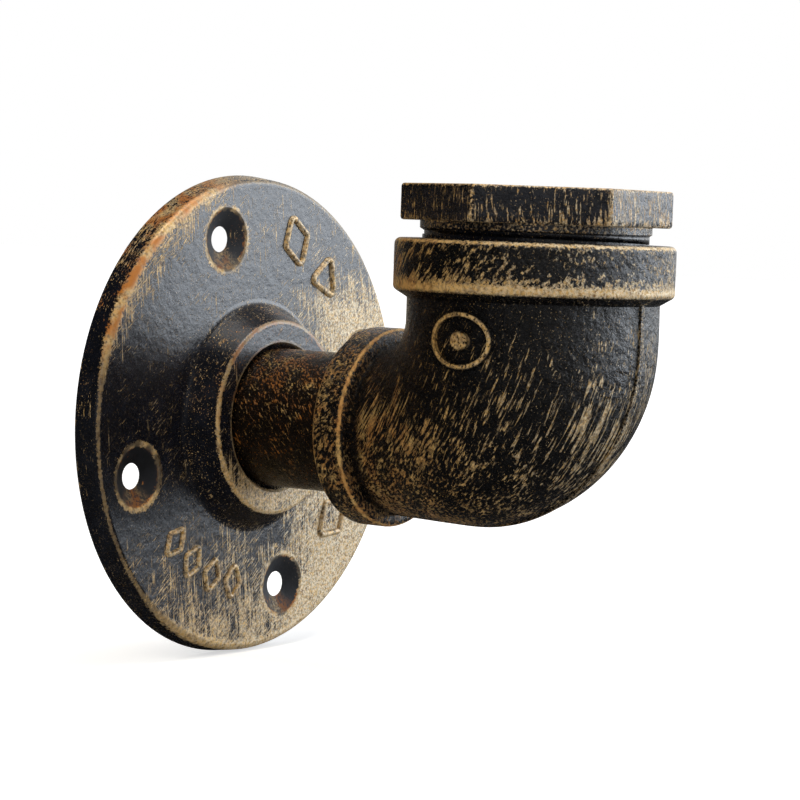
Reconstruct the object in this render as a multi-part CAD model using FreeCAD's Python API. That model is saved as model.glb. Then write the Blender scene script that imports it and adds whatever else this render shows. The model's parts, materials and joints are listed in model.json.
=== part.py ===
import FreeCAD, Part
import math
import os

# Wall light made of cast pipe fittings. Millimetres, +Z up. The wall is the plane Y = 0 and the light
# stands out along -Y, so "out" below is the distance from the wall. The pipe axis is the Y axis. The
# outlet axis is parallel to Z, one outlet_out from the wall, and the lamp screws in from above.

# Wall flange
flange_diameter = 93.7
flange_draft = 0.7
plate_thickness = 4.9
plate_edge_radius = 1.3
web_thickness = 2.0
rim_width = 3.2
back_hub_wall = 5.2
back_corner_radius = 0.6
hub_base_diameter = 43.9
hub_front_diameter = 37.5
hub_out = 11.0
hub_root_radius = 1.6
hub_edge_radius = 0.9
hub_mouth_diameter = 29.4
screw_circle_diameter = 71.7
screw_hole_diameter = 5.0
countersink_diameter = 12.4
countersink_depth = 1.8
screw_hole_count = 4
screw_hole_turn = 16.9

# Pipe nipple
pipe_diameter = 26.9
pipe_wall = 2.65
pipe_back_recess = 1.5
pipe_end_chamfer = 0.7
pipe_engagement = 12.5
thread_clearance = 0.05

# Reducing elbow
inlet_band_out = 33.1
inlet_band_width = 6.9
inlet_band_diameter = 37.7
outlet_out = 69.0
outlet_band_bottom = 26.9
outlet_band_top = 36.2
outlet_band_wall = 4.5
band_edge_radius = 1.2
band_cove_height = 2.3
body_inlet_diameter = 32.4
body_outlet_wall = 1.9
heel_radius = 34.2
heel_drop = 0.6
bend_turns = (0, 10, 20, 30, 40, 50, 60, 70, 80, 90)
section_steps = 8
inlet_wall = 4.2
outlet_wall = 3.4
inlet_socket_spare = 1.0
outlet_socket_depth = 12.5
parting_ridge_height = 0.35
parting_ridge_width = 1.1
oval_mark_width = 13.4
oval_mark_height = 10.6
oval_mark_z = 18.4
oval_mark_line = 1.1
oval_mark_relief = 0.6
oval_mark_dot = 3.6

# Hex bushing
bushing_thread_end_gap = 1.0
bushing_neck = 3.2
hex_height = 6.7
hex_side_step = 0.4
hex_turn = 5.3
hex_chamfer = 0.5
bushing_wall = 2.6
bushing_lip_overlap = 1.6
bushing_lip_height = 2.8

# Gasket and retaining ring that hold the lampholder's rim in the bushing
gasket_thickness = 0.5
gasket_width = 2.6
rim_play = 0.1
ring_thickness = 1.2
ring_groove_depth = 1.1
ring_gap_angle = 26.0
seat_gap = 0.05
slip_gap = 0.3

# Porcelain lampholder
rim_thickness = 3.0
rim_step = 1.4
holder_wall = 2.9
holder_height = 39.4
holder_foot_step = 1.9
holder_taper_height = 9.0
holder_mouth_chamfer = 1.6
holder_floor_height = 14.0
slot_depth = 8.5

# Lamp screw shell, its screws and the anchor nut
shell_inner_diameter = 26.6
shell_wall = 0.4
shell_top_drop = 2.8
shell_eye_diameter = 16.0
shell_foot_height = 4.1
shell_foot_step = 0.5
shell_screw_inset = 3.05
shell_screw_diameter = 2.5
shell_screw_length = 8.2
shell_screw_head_diameter = 4.5
shell_screw_head_height = 1.7
nut_across_flats = 5.0
nut_height = 2.0

# Sprung centre contact
contact_bush_diameter = 9.0
contact_bush_depth = 3.5
contact_bush_flange_diameter = 11.0
contact_bush_flange_height = 1.6
contact_lip_height = 0.8
plunger_flange_diameter = 6.0
plunger_flange_height = 1.2
plunger_pip_diameter = 4.4
plunger_rise = 3.3
plunger_tail_diameter = 2.6
plunger_tail_length = 1.5
plunger_clearance = 0.1
spring_wire_diameter = 0.5
spring_mean_diameter = 4.4
spring_turns = 4

# Terminals
terminal_width = 6.0
terminal_depth = 5.5
terminal_height = 6.5
terminal_wire_bore = 1.9
terminal_wire_depth = 3.6
terminal_screw_diameter = 2.5
terminal_screw_head_diameter = 4.4
terminal_screw_head_height = 1.6
terminal_screw_height = 2.2
ferrule_diameter = 1.5

# Leads and the connector that they end in
lead_diameter = 2.2
lead_rest_gap = 0.6
lead_straight_run = 5.0
lead_bend_share = 0.45
lead_sag = 5.6
lead_sag_out = 50.0
lead_rise_gap = 5.5
lead_spread = 1.5
earth_sag = 4.9
earth_sag_out = 43.0
connector_out = 8.0
connector_length = 16.0
connector_height = 10.0
connector_pole_pitch = 6.0
barrel_tube_diameter = 4.4
barrel_tube_bore = 2.4
barrel_tube_recess = 0.5
connector_screw_diameter = 1.9
connector_screw_inset = 3.0
connector_ferrule_reach = 6.5

# Earth point on the heel of the elbow
earth_x = -6.0
earth_heel_offset = 7.05
earth_boss_diameter = 8.0
earth_boss_height = 4.2
earth_screw_diameter = 3.9
earth_screw_length = 4.8
earth_head_diameter = 7.0
earth_head_height = 2.4
earth_washer_diameter = 8.0
earth_sheet = 0.8
earth_ring_diameter = 7.6
earth_crimp_diameter = 3.6
earth_crimp_bore = 2.6
earth_crimp_length = 5.0

# Sizes that follow from the ones above. The lamp's screw shell sets the lampholder, that sets the bushing,
# and the bushing's thread sets the outlet of the elbow.
shell_radius = shell_inner_diameter / 2
shell_screw_offset = shell_radius - shell_screw_inset
holder_bore_radius = shell_radius + shell_wall + slip_gap
barrel_radius = holder_bore_radius + holder_wall
foot_radius = barrel_radius - holder_foot_step
rim_radius = barrel_radius + rim_step
bushing_bore_radius = rim_radius + slip_gap
thread_radius = bushing_bore_radius + bushing_wall
hex_across_flats = 2 * (thread_radius + hex_side_step)
socket_radius = thread_radius + thread_clearance
outlet_band_radius = socket_radius + outlet_band_wall

pipe_radius = pipe_diameter / 2
pipe_bore_radius = pipe_radius - pipe_wall
inlet_band_end = inlet_band_out + inlet_band_width
pipe_end_out = inlet_band_out + pipe_engagement
body_inlet_radius = body_inlet_diameter / 2
body_outlet_radius = socket_radius + body_outlet_wall
throat_radius = outlet_out - body_outlet_radius - inlet_band_end
throat_z = body_inlet_radius + throat_radius
heel_bottom_z = -body_inlet_radius - heel_drop
heel_out = outlet_out + body_outlet_radius - heel_radius
heel_z = heel_bottom_z + heel_radius
outlet_socket_bottom = outlet_band_top - outlet_socket_depth

hex_bottom = outlet_band_top + bushing_neck
hex_top = hex_bottom + hex_height
bushing_bottom = outlet_socket_bottom + bushing_thread_end_gap
lip_bottom = hex_top - bushing_lip_height

rim_top = lip_bottom - gasket_thickness - rim_play
rim_bottom = rim_top - rim_thickness
holder_bottom = rim_top - holder_height
floor_z = holder_bottom + holder_floor_height
slot_top = holder_bottom + slot_depth
ring_top = rim_bottom - rim_play
terminal_bottom = slot_top - terminal_height
shell_top = rim_top - shell_top_drop
bush_top = floor_z + contact_bush_flange_height
plunger_top = bush_top - contact_lip_height - slip_gap
plunger_bottom = plunger_top - plunger_flange_height
lead_top = terminal_bottom - lead_rest_gap
pole_positions = [-connector_pole_pitch, 0.0, connector_pole_pitch]
earth_out = heel_out + earth_heel_offset
earth_boss_top = heel_bottom_z + inlet_wall + earth_boss_height


def vector(x, out, z):
    return FreeCAD.Vector(x, -out, z)


def rounded_outline(corners, place):
    """Closed wire through corners (a, b, radius), each rounded; place turns (a, b) into a point."""
    points = [FreeCAD.Vector(a, b, 0) for a, b, radius in corners]
    starts = []
    ends = []
    middles = []
    for index, corner in enumerate(points):
        radius = corners[index][2]
        back = (points[index - 1] - corner).normalize()
        ahead = (points[(index + 1) % len(points)] - corner).normalize()
        half = back.getAngle(ahead) / 2
        reach = radius / math.tan(half)
        bisector = (back + ahead).normalize() if radius else back
        starts.append(corner + back * reach)
        ends.append(corner + ahead * reach)
        middles.append(corner + bisector * (radius / math.sin(half) - radius))
    edges = []
    for index in range(len(corners)):
        start, middle, end = [place(p.x, p.y) for p in (starts[index], middles[index], ends[index])]
        if corners[index][2]:
            edges.append(Part.Arc(start, middle, end).toShape())
        following = starts[(index + 1) % len(corners)]
        edges.append(Part.makeLine(end, place(following.x, following.y)))
    return Part.Wire(edges)


def turned_about_pipe(corners):
    """Solid of revolution about the pipe axis from corners (radius, out, corner radius)."""
    face = Part.Face(rounded_outline(corners, lambda r, out: vector(r, out, 0)))
    return face.revolve(FreeCAD.Vector(0, 0, 0), FreeCAD.Vector(0, 1, 0), 360)


def turned_about_outlet(corners, angle=360):
    """Solid of revolution about the outlet axis from corners (radius, z, corner radius)."""
    face = Part.Face(rounded_outline(corners, lambda r, z: vector(r, outlet_out, z)))
    return face.revolve(vector(0, outlet_out, 0), FreeCAD.Vector(0, 0, 1), angle)


def flat_ring(inner, outer, bottom, top, angle=360):
    corners = [(inner, bottom, 0), (outer, bottom, 0), (outer, top, 0), (inner, top, 0)]
    return turned_about_outlet(corners, angle)


def upright(radius, height, x, out, z):
    return Part.makeCylinder(radius, height, vector(x, out, z), FreeCAD.Vector(0, 0, 1))


def outward(radius, length, x, out, z):
    """Cylinder that starts at out and runs away from the wall."""
    return Part.makeCylinder(radius, length, vector(x, out, z), FreeCAD.Vector(0, -1, 0))


def block(x_from, x_to, out_from, out_to, z_from, z_to):
    corner = vector(x_from, out_to, z_from)
    return Part.makeBox(x_to - x_from, out_to - out_from, z_to - z_from, corner)


def hex_prism(across_flats, height, x, out, z, turn=0.0):
    corner_radius = across_flats / math.sqrt(3)
    corners = []
    for index in range(6):
        angle = math.radians(turn + 60 * index)
        corners.append(vector(x + corner_radius * math.cos(angle), out - corner_radius * math.sin(angle), z))
    face = Part.Face(Part.makePolygon(corners + corners[:1]))
    return face.extrude(FreeCAD.Vector(0, 0, height))


def wall_flange():
    bore = pipe_radius + thread_clearance
    flange_radius = flange_diameter / 2
    mouth_depth = hub_mouth_diameter / 2 - bore
    recess_depth = plate_thickness - web_thickness
    flange = turned_about_pipe([
        (bore, 0, 0),
        (bore + back_hub_wall, 0, 0),
        (bore + back_hub_wall, recess_depth, back_corner_radius),
        (flange_radius - rim_width, recess_depth, back_corner_radius),
        (flange_radius - rim_width, 0, 0),
        (flange_radius, 0, 0),
        (flange_radius - flange_draft, plate_thickness, plate_edge_radius),
        (hub_base_diameter / 2, plate_thickness, hub_root_radius),
        (hub_front_diameter / 2, hub_out, hub_edge_radius),
        (hub_mouth_diameter / 2, hub_out, 0),
        (bore, hub_out - mouth_depth, 0),
    ])
    for index in range(screw_hole_count):
        angle = math.radians(screw_hole_turn + 360 * index / screw_hole_count)
        x = -math.sin(angle) * screw_circle_diameter / 2
        z = math.cos(angle) * screw_circle_diameter / 2
        hole = outward(screw_hole_diameter / 2, plate_thickness, x, 0, z)
        sink = Part.makeCone(screw_hole_diameter / 2, countersink_diameter / 2, countersink_depth,
                             vector(x, plate_thickness - countersink_depth, z), FreeCAD.Vector(0, -1, 0))
        flange = flange.cut(hole).cut(sink)
    return flange


def pipe_nipple():
    return turned_about_pipe([
        (pipe_bore_radius, pipe_back_recess, 0),
        (pipe_radius - pipe_end_chamfer, pipe_back_recess, 0),
        (pipe_radius, pipe_back_recess + pipe_end_chamfer, 0),
        (pipe_radius, pipe_end_out - pipe_end_chamfer, 0),
        (pipe_radius - pipe_end_chamfer, pipe_end_out, 0),
        (pipe_bore_radius, pipe_end_out, 0),
    ])


def heel_reach(turn):
    """Distance from the throat's centre to the outer bend, along a ray turn radians from straight down."""
    ray_out = math.sin(turn)
    ray_z = -math.cos(turn)
    offset_out = inlet_band_end - heel_out
    offset_z = throat_z - heel_z
    along = offset_out * ray_out + offset_z * ray_z
    reach = -along + math.sqrt(along ** 2 - offset_out ** 2 - offset_z ** 2 + heel_radius ** 2)
    if inlet_band_end + reach * ray_out < heel_out:
        slope = heel_drop / (heel_out - inlet_band_end)
        reach = (throat_z + body_inlet_radius) / (math.cos(turn) - slope * math.sin(turn))
    if throat_z + reach * ray_z > heel_z:
        reach = (outlet_out + body_outlet_radius - inlet_band_end) / ray_out
    return reach


def bend_section(turn, shift, inset, side):
    """Points round half of an oval section of the bend, from its outer side to its throat side.

    The section's plane goes through the throat's centre at turn degrees and is moved on by shift."""
    ray = vector(0, math.sin(math.radians(turn)), -math.cos(math.radians(turn)))
    across = FreeCAD.Vector(side, 0, 0)
    reach = heel_reach(math.radians(turn))
    share = turn / 90
    growth = math.sin(math.radians(turn))
    half_across = body_inlet_radius + (body_outlet_radius - body_inlet_radius) * growth - inset(share)
    half_along = (reach - throat_radius) / 2 - inset(share)
    onward = ray.cross(FreeCAD.Vector(1, 0, 0))
    centre = vector(0, inlet_band_end, throat_z) + ray * ((reach + throat_radius) / 2) + onward * shift
    points = []
    for step in range(section_steps + 1):
        angle = math.pi * step / section_steps
        along = ray * (half_along * math.cos(angle))
        points.append(centre + along + across * (half_across * math.sin(angle)))
    return points


def bend(inset):
    """Solid through the bend's sections, with a straight run into each band."""
    run_in = inlet_band_width / 2
    run_out = outlet_band_bottom - throat_z + inlet_band_width / 2
    stations = [(0, -run_in), (0, -run_in / 2)] + [(turn, 0) for turn in bend_turns]
    stations += [(90, run_out / 2), (90, run_out)]
    sides = []
    for side in (1, -1):
        surface = Part.BSplineSurface()
        surface.interpolate([bend_section(turn, shift, inset, side) for turn, shift in stations])
        sides.append(surface)
    faces = [surface.toShape() for surface in sides]
    for end in (0, 1):
        faces.append(Part.Face(Part.Wire([surface.uIso(end).toShape() for surface in sides])))
    shell = Part.makeShell(faces)
    shell.sewShape()
    solid = Part.makeSolid(shell)
    return solid if solid.Volume > 0 else solid.reversed()


def outlet_band():
    neck_radius = body_outlet_radius - band_edge_radius
    return turned_about_outlet([
        (0, outlet_band_bottom - band_cove_height, 0),
        (neck_radius, outlet_band_bottom - band_cove_height, 0),
        (outlet_band_radius, outlet_band_bottom, band_edge_radius),
        (outlet_band_radius, outlet_band_top, band_edge_radius),
        (0, outlet_band_top, 0),
    ])


def inlet_band():
    band_radius = inlet_band_diameter / 2
    return turned_about_pipe([
        (0, inlet_band_out, 0),
        (band_radius, inlet_band_out, band_edge_radius),
        (band_radius, inlet_band_end, band_edge_radius),
        (0, inlet_band_end, 0),
    ])


def parting_ridge():
    raised = bend(lambda share: -parting_ridge_height)
    slab = block(-parting_ridge_width / 2, parting_ridge_width / 2, inlet_band_end - band_edge_radius,
                 outlet_out + 2 * outlet_band_radius, heel_bottom_z - heel_radius, outlet_band_bottom)
    return raised.common(slab)


def oval_prism(width, height):
    """Oval bar along X through the side of the elbow."""
    start = -body_outlet_radius + outlet_wall / 2
    place = FreeCAD.Matrix(0, 0, -1, start,
                           width / 2, 0, 0, -outlet_out,
                           0, height / 2, 0, oval_mark_z,
                           0, 0, 0, 1)
    face = Part.Face(Part.Wire([Part.makeCircle(1).transformGeometry(place)]))
    return face.extrude(FreeCAD.Vector(-2 * outlet_band_radius, 0, 0))


def oval_mark():
    """Raised oval ring with a dot in it, which follows the curved side."""
    ring = oval_prism(oval_mark_width, oval_mark_height)
    ring = ring.cut(oval_prism(oval_mark_width - 2 * oval_mark_line, oval_mark_height - 2 * oval_mark_line))
    dot = oval_prism(oval_mark_dot, oval_mark_dot)
    return bend(lambda share: -oval_mark_relief).common(ring.fuse(dot))


def reducing_elbow():
    elbow = bend(lambda share: 0)
    for addition in (outlet_band(), inlet_band(), parting_ridge(), oval_mark()):
        elbow = elbow.fuse(addition)
    elbow = elbow.cut(bend(lambda share: inlet_wall + (outlet_wall - inlet_wall) * share))
    elbow = elbow.cut(upright(socket_radius, outlet_socket_depth, 0, outlet_out, outlet_socket_bottom))
    socket_length = pipe_engagement + inlet_socket_spare
    elbow = elbow.cut(outward(pipe_radius + thread_clearance, socket_length, 0, inlet_band_out, 0))
    boss = upright(earth_boss_diameter / 2, earth_boss_top - heel_bottom_z, earth_x, earth_out, heel_bottom_z)
    elbow = elbow.fuse(boss.common(bend(lambda share: outlet_wall / 2)))
    tapping_depth = earth_screw_length - 2 * earth_sheet + slip_gap
    return elbow.cut(upright(earth_screw_diameter / 2 + seat_gap, tapping_depth,
                             earth_x, earth_out, earth_boss_top - tapping_depth))


def hex_bushing():
    hexagon = hex_prism(hex_across_flats, hex_height, 0, outlet_out, hex_bottom, hex_turn)
    corner_radius = hex_across_flats / math.sqrt(3)
    chamfered = turned_about_outlet([
        (0, hex_bottom, 0),
        (corner_radius, hex_bottom, 0),
        (corner_radius, hex_top - hex_chamfer, 0),
        (corner_radius - 2 * hex_chamfer, hex_top, 0),
        (0, hex_top, 0),
    ])
    bushing = hexagon.common(chamfered)
    thread_height = hex_bottom - bushing_bottom
    bushing = bushing.fuse(upright(thread_radius, thread_height, 0, outlet_out, bushing_bottom))
    bore_height = lip_bottom - bushing_bottom
    bushing = bushing.cut(upright(bushing_bore_radius, bore_height, 0, outlet_out, bushing_bottom))
    lip_radius = bushing_bore_radius - bushing_lip_overlap
    bushing = bushing.cut(upright(lip_radius, hex_height, 0, outlet_out, lip_bottom))
    groove_height = ring_thickness + 2 * seat_gap
    return bushing.cut(upright(bushing_bore_radius + ring_groove_depth, groove_height, 0, outlet_out,
                               ring_top + seat_gap - groove_height))


def holder_gasket():
    return flat_ring(rim_radius - gasket_width, rim_radius, lip_bottom - gasket_thickness, lip_bottom)


def retaining_ring():
    outer = bushing_bore_radius + ring_groove_depth - seat_gap
    bottom = ring_top - ring_thickness
    return flat_ring(barrel_radius + slip_gap, outer, bottom, ring_top, 360 - ring_gap_angle)


def terminal_slot(x):
    """Pocket under the floor that holds a terminal and opens away from the pipe for its screw."""
    half_width = terminal_width / 2 + slip_gap
    nearest = outlet_out - terminal_depth / 2 - slip_gap
    return block(x - half_width, x + half_width, nearest, nearest + 2 * barrel_radius,
                 holder_bottom, slot_top)


def lampholder_body():
    bore = holder_bore_radius
    bush_bore = contact_bush_diameter / 2 + seat_gap
    plunger_bore = plunger_flange_diameter / 2 + plunger_clearance
    body = turned_about_outlet([
        (0, holder_bottom, 0),
        (foot_radius, holder_bottom, 0),
        (barrel_radius, holder_bottom + holder_taper_height, 0),
        (barrel_radius, rim_bottom, 0),
        (rim_radius, rim_bottom, 0),
        (rim_radius, rim_top, 0),
        (bore + holder_mouth_chamfer, rim_top, 0),
        (bore, rim_top - holder_mouth_chamfer, 0),
        (bore, floor_z, 0),
        (bush_bore, floor_z, 0),
        (bush_bore, floor_z - contact_bush_depth, 0),
        (plunger_bore, floor_z - contact_bush_depth, 0),
        (plunger_bore, slot_top, 0),
        (0, slot_top, 0),
    ])
    body = body.cut(terminal_slot(0)).cut(terminal_slot(shell_screw_offset))
    nut_pocket_size = nut_across_flats + slip_gap
    body = body.cut(hex_prism(nut_pocket_size, slot_depth, -shell_screw_offset, outlet_out, holder_bottom))
    for x in (-shell_screw_offset, shell_screw_offset):
        hole_radius = shell_screw_diameter / 2 + thread_clearance
        body = body.cut(upright(hole_radius, floor_z - slot_top, x, outlet_out, slot_top))
    return body


def screw_shell():
    """Sheet cup for the lamp's cap. Its foot is a step narrower, so the cap stops above the screws."""
    floor_top = floor_z + shell_wall
    outer = shell_radius + shell_wall
    foot = shell_radius - shell_foot_step
    cone_top = floor_top + shell_foot_height
    cone_bottom = cone_top - shell_foot_step
    cone_shift = shell_wall * math.tan(math.pi / 8)
    shell = turned_about_outlet([
        (shell_eye_diameter / 2, floor_z, 0),
        (foot + shell_wall, floor_z, 0),
        (foot + shell_wall, cone_bottom - cone_shift, 0),
        (outer, cone_top - cone_shift, 0),
        (outer, shell_top, 0),
        (shell_radius, shell_top, 0),
        (shell_radius, cone_top, 0),
        (foot, cone_bottom, 0),
        (foot, floor_top, 0),
        (shell_eye_diameter / 2, floor_top, 0),
    ])
    for x in (-shell_screw_offset, shell_screw_offset):
        hole_radius = shell_screw_diameter / 2 + thread_clearance
        shell = shell.cut(upright(hole_radius, shell_wall, x, outlet_out, floor_z))
    return shell


def shell_screws():
    seat = floor_z + shell_wall
    screws = []
    tip = seat - shell_screw_length
    for x in (-shell_screw_offset, shell_screw_offset):
        shank = upright(shell_screw_diameter / 2, shell_screw_length, x, outlet_out, tip)
        head = upright(shell_screw_head_diameter / 2, shell_screw_head_height, x, outlet_out, seat)
        screws.append(shank.fuse(head).removeSplitter())
    return Part.makeCompound(screws)


def anchor_nut():
    nut = hex_prism(nut_across_flats, nut_height, -shell_screw_offset, outlet_out, slot_top - nut_height)
    hole_radius = shell_screw_diameter / 2 + thread_clearance
    return nut.cut(upright(hole_radius, nut_height, -shell_screw_offset, outlet_out, slot_top - nut_height))


def contact_bush():
    inner = plunger_flange_diameter / 2 + plunger_clearance
    lip = plunger_pip_diameter / 2 + plunger_clearance
    return turned_about_outlet([
        (inner, floor_z - contact_bush_depth, 0),
        (contact_bush_diameter / 2, floor_z - contact_bush_depth, 0),
        (contact_bush_diameter / 2, floor_z, 0),
        (contact_bush_flange_diameter / 2, floor_z, 0),
        (contact_bush_flange_diameter / 2, bush_top, 0),
        (lip, bush_top, 0),
        (lip, bush_top - contact_lip_height, 0),
        (inner, bush_top - contact_lip_height, 0),
    ])


def contact_plunger():
    pip = plunger_pip_diameter / 2
    tail = plunger_tail_diameter / 2
    flange = plunger_flange_diameter / 2
    return turned_about_outlet([
        (0, plunger_bottom - plunger_tail_length, 0),
        (tail, plunger_bottom - plunger_tail_length, 0),
        (tail, plunger_bottom, 0),
        (flange, plunger_bottom, 0),
        (flange, plunger_top, 0),
        (pip, plunger_top, 0),
        (pip, plunger_top + plunger_rise, pip / 2),
        (0, plunger_top + plunger_rise, 0),
    ])


def contact_spring():
    """Open coil with each quarter turn an arc."""
    wire_radius = spring_wire_diameter / 2
    coil_radius = spring_mean_diameter / 2
    low = slot_top + wire_radius + seat_gap
    high = plunger_bottom - wire_radius - seat_gap
    print("spring gap between turns", round((high - low) / spring_turns - spring_wire_diameter, 2))

    def on_coil(turned):
        angle = 2 * math.pi * turned
        height = low + (high - low) * turned / spring_turns
        return vector(coil_radius * math.cos(angle), outlet_out + coil_radius * math.sin(angle), height)

    arcs = []
    for quarter in range(4 * spring_turns):
        ends = [on_coil((quarter + share) / 4) for share in (0, 0.5, 1)]
        arcs.append(Part.Arc(*ends).toShape())
    heading = arcs[0].tangentAt(arcs[0].FirstParameter)
    section = Part.Wire([Part.makeCircle(wire_radius, on_coil(0), heading)])
    return Part.Wire(arcs).makePipeShell([section], True, False)


def terminal(x):
    half_width = terminal_width / 2
    half_depth = terminal_depth / 2
    body = block(x - half_width, x + half_width, outlet_out - half_depth, outlet_out + half_depth,
                 terminal_bottom, slot_top)
    body = body.cut(upright(terminal_wire_bore / 2, terminal_wire_depth, x, outlet_out, terminal_bottom))
    screw_hole = terminal_screw_diameter / 2 + thread_clearance
    return body.cut(outward(screw_hole, half_depth, x, outlet_out, terminal_bottom + terminal_screw_height))


def live_terminal():
    return terminal(0)


def neutral_terminal():
    tapped = shell_screw_length - shell_wall - (floor_z - slot_top) + seat_gap
    tapping = upright(shell_screw_diameter / 2 + thread_clearance, tapped,
                      shell_screw_offset, outlet_out, slot_top - tapped)
    return terminal(shell_screw_offset).cut(tapping)


def terminal_screws():
    face_out = outlet_out + terminal_depth / 2
    tip_out = outlet_out + ferrule_diameter / 2 + slip_gap
    z = terminal_bottom + terminal_screw_height
    screws = []
    for x in (0, shell_screw_offset):
        head_seat = face_out + slip_gap
        shank = outward(terminal_screw_diameter / 2, head_seat - tip_out, x, tip_out, z)
        head = outward(terminal_screw_head_diameter / 2, terminal_screw_head_height, x, head_seat, z)
        screws.append(shank.fuse(head).removeSplitter())
    return Part.makeCompound(screws)


def terminal_ferrules():
    length = terminal_bottom + terminal_wire_depth - slip_gap - lead_top
    radius = ferrule_diameter / 2
    ferrules = [upright(radius, length, x, outlet_out, lead_top) for x in (0, shell_screw_offset)]
    return Part.makeCompound(ferrules)


def connector_end():
    return connector_out + connector_length


def connector_block():
    """Three-pole block whose long edges rest on the pipe's bore."""
    half_height = connector_height / 2
    half_width = math.sqrt((pipe_bore_radius - slip_gap) ** 2 - half_height ** 2)
    body = block(-half_width, half_width, connector_out, connector_end(), -half_height, half_height)
    for x in pole_positions:
        body = body.cut(outward(barrel_tube_diameter / 2 + seat_gap, connector_length, x, connector_out, 0))
        for out in connector_screw_places():
            body = body.cut(upright(connector_screw_diameter / 2 + slip_gap, half_height, x, out, 0))
    return body


def connector_screw_places():
    return (connector_out + connector_screw_inset, connector_end() - connector_screw_inset)


def connector_tubes():
    tubes = []
    for x in pole_positions:
        start = connector_out + barrel_tube_recess
        length = connector_length - 2 * barrel_tube_recess
        tube = outward(barrel_tube_diameter / 2, length, x, start, 0)
        tube = tube.cut(outward(barrel_tube_bore / 2, length, x, start, 0))
        for out in connector_screw_places():
            tube = tube.cut(upright(connector_screw_diameter / 2 + seat_gap, barrel_tube_diameter, x, out, 0))
        tubes.append(tube)
    return Part.makeCompound(tubes)


def connector_screws():
    low = ferrule_diameter / 2 + slip_gap
    high = connector_height / 2 - slip_gap
    screws = []
    for x in pole_positions:
        for out in connector_screw_places():
            screws.append(upright(connector_screw_diameter / 2, high - low, x, out, low))
    return Part.makeCompound(screws)


def lead_start_out():
    return connector_end() + lead_rest_gap


def connector_ferrules():
    start = lead_start_out() - connector_ferrule_reach
    ferrules = [outward(ferrule_diameter / 2, connector_ferrule_reach, x, start, 0) for x in pole_positions]
    return Part.makeCompound(ferrules)


def lead(route, name):
    """Tube along straight runs joined by arcs, each as large as the shorter of its two runs allows."""
    points = [vector(x, out, z) for x, out, z in route]
    edges = []
    radii = []
    start = points[0]
    for before, corner, after in zip(points, points[1:], points[2:]):
        back = before - corner
        ahead = after - corner
        half = back.getAngle(ahead) / 2
        reach = lead_bend_share * min(back.Length, ahead.Length)
        radius = reach * math.tan(half)
        inward = (back.normalize() + ahead.normalize()).normalize()
        middle = corner + inward * (radius / math.sin(half) - radius)
        edges.append(Part.makeLine(start, corner + back * reach))
        edges.append(Part.Arc(corner + back * reach, middle, corner + ahead * reach).toShape())
        start = corner + ahead * reach
        radii.append(round(radius, 1))
    edges.append(Part.makeLine(start, points[-1]))
    path = Part.Wire(edges)
    section = Part.Wire([Part.makeCircle(lead_diameter / 2, points[0], points[1] - points[0])])
    print(name, "bend radii", radii, "length", round(path.Length, 1))
    return path.makePipeShell([section], True, False)


def lampholder_lead(x_start, x_sag, x_end, name):
    """Lead that leaves the connector straight, sags through the pipe and rises to its terminal."""
    rise_out = outlet_out - lead_rise_gap
    return lead([
        (x_start, lead_start_out(), 0),
        (x_start, lead_start_out() + lead_straight_run, 0),
        (x_sag, lead_sag_out, -lead_sag),
        (x_end, rise_out, -lead_sag),
        (x_end, outlet_out, lead_top - lead_rise_gap),
        (x_end, outlet_out, lead_top),
    ], name)


def live_lead():
    return lampholder_lead(0, 0, 0, "live_lead")


def neutral_lead():
    x_sag = connector_pole_pitch + lead_spread
    return lampholder_lead(connector_pole_pitch, x_sag, shell_screw_offset, "neutral_lead")


def crimp_z():
    return earth_boss_top + earth_crimp_diameter / 2


def crimp_start_out():
    return earth_out - earth_ring_diameter / 2 - slip_gap - earth_crimp_length


def earth_lead():
    crimp_end = crimp_start_out() + earth_crimp_length - slip_gap
    return lead([
        (-connector_pole_pitch, lead_start_out(), 0),
        (-connector_pole_pitch, lead_start_out() + lead_straight_run, 0),
        (earth_x, earth_sag_out, -earth_sag),
        (earth_x, crimp_start_out() - lead_straight_run, crimp_z()),
        (earth_x, crimp_end, crimp_z()),
    ], "earth_lead")


def earth_lug():
    """Ring terminal: a flat ring under the screw, and the crimped barrel that takes the earth lead."""
    ring = upright(earth_ring_diameter / 2, earth_sheet, earth_x, earth_out, earth_boss_top)
    start = crimp_start_out()
    barrel = outward(earth_crimp_diameter / 2, earth_crimp_length, earth_x, start, crimp_z())
    half_width = earth_crimp_diameter / 2
    tongue = block(earth_x - half_width, earth_x + half_width,
                   start + earth_crimp_length - earth_sheet, earth_out,
                   earth_boss_top, earth_boss_top + earth_sheet)
    lug = ring.fuse(barrel).fuse(tongue)
    lug = lug.cut(outward(earth_crimp_bore / 2, earth_crimp_length, earth_x, start, crimp_z()))
    hole_radius = earth_screw_diameter / 2 + slip_gap
    return lug.cut(upright(hole_radius, earth_sheet, earth_x, earth_out, earth_boss_top))


def earth_washer():
    bottom = earth_boss_top + earth_sheet
    washer = upright(earth_washer_diameter / 2, earth_sheet, earth_x, earth_out, bottom)
    return washer.cut(upright(earth_screw_diameter / 2 + slip_gap, earth_sheet, earth_x, earth_out, bottom))


def earth_screw():
    seat = earth_boss_top + 2 * earth_sheet
    tip = seat - earth_screw_length
    shank = upright(earth_screw_diameter / 2, earth_screw_length, earth_x, earth_out, tip)
    head = upright(earth_head_diameter / 2, earth_head_height, earth_x, earth_out, seat)
    return shank.fuse(head).removeSplitter()


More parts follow.
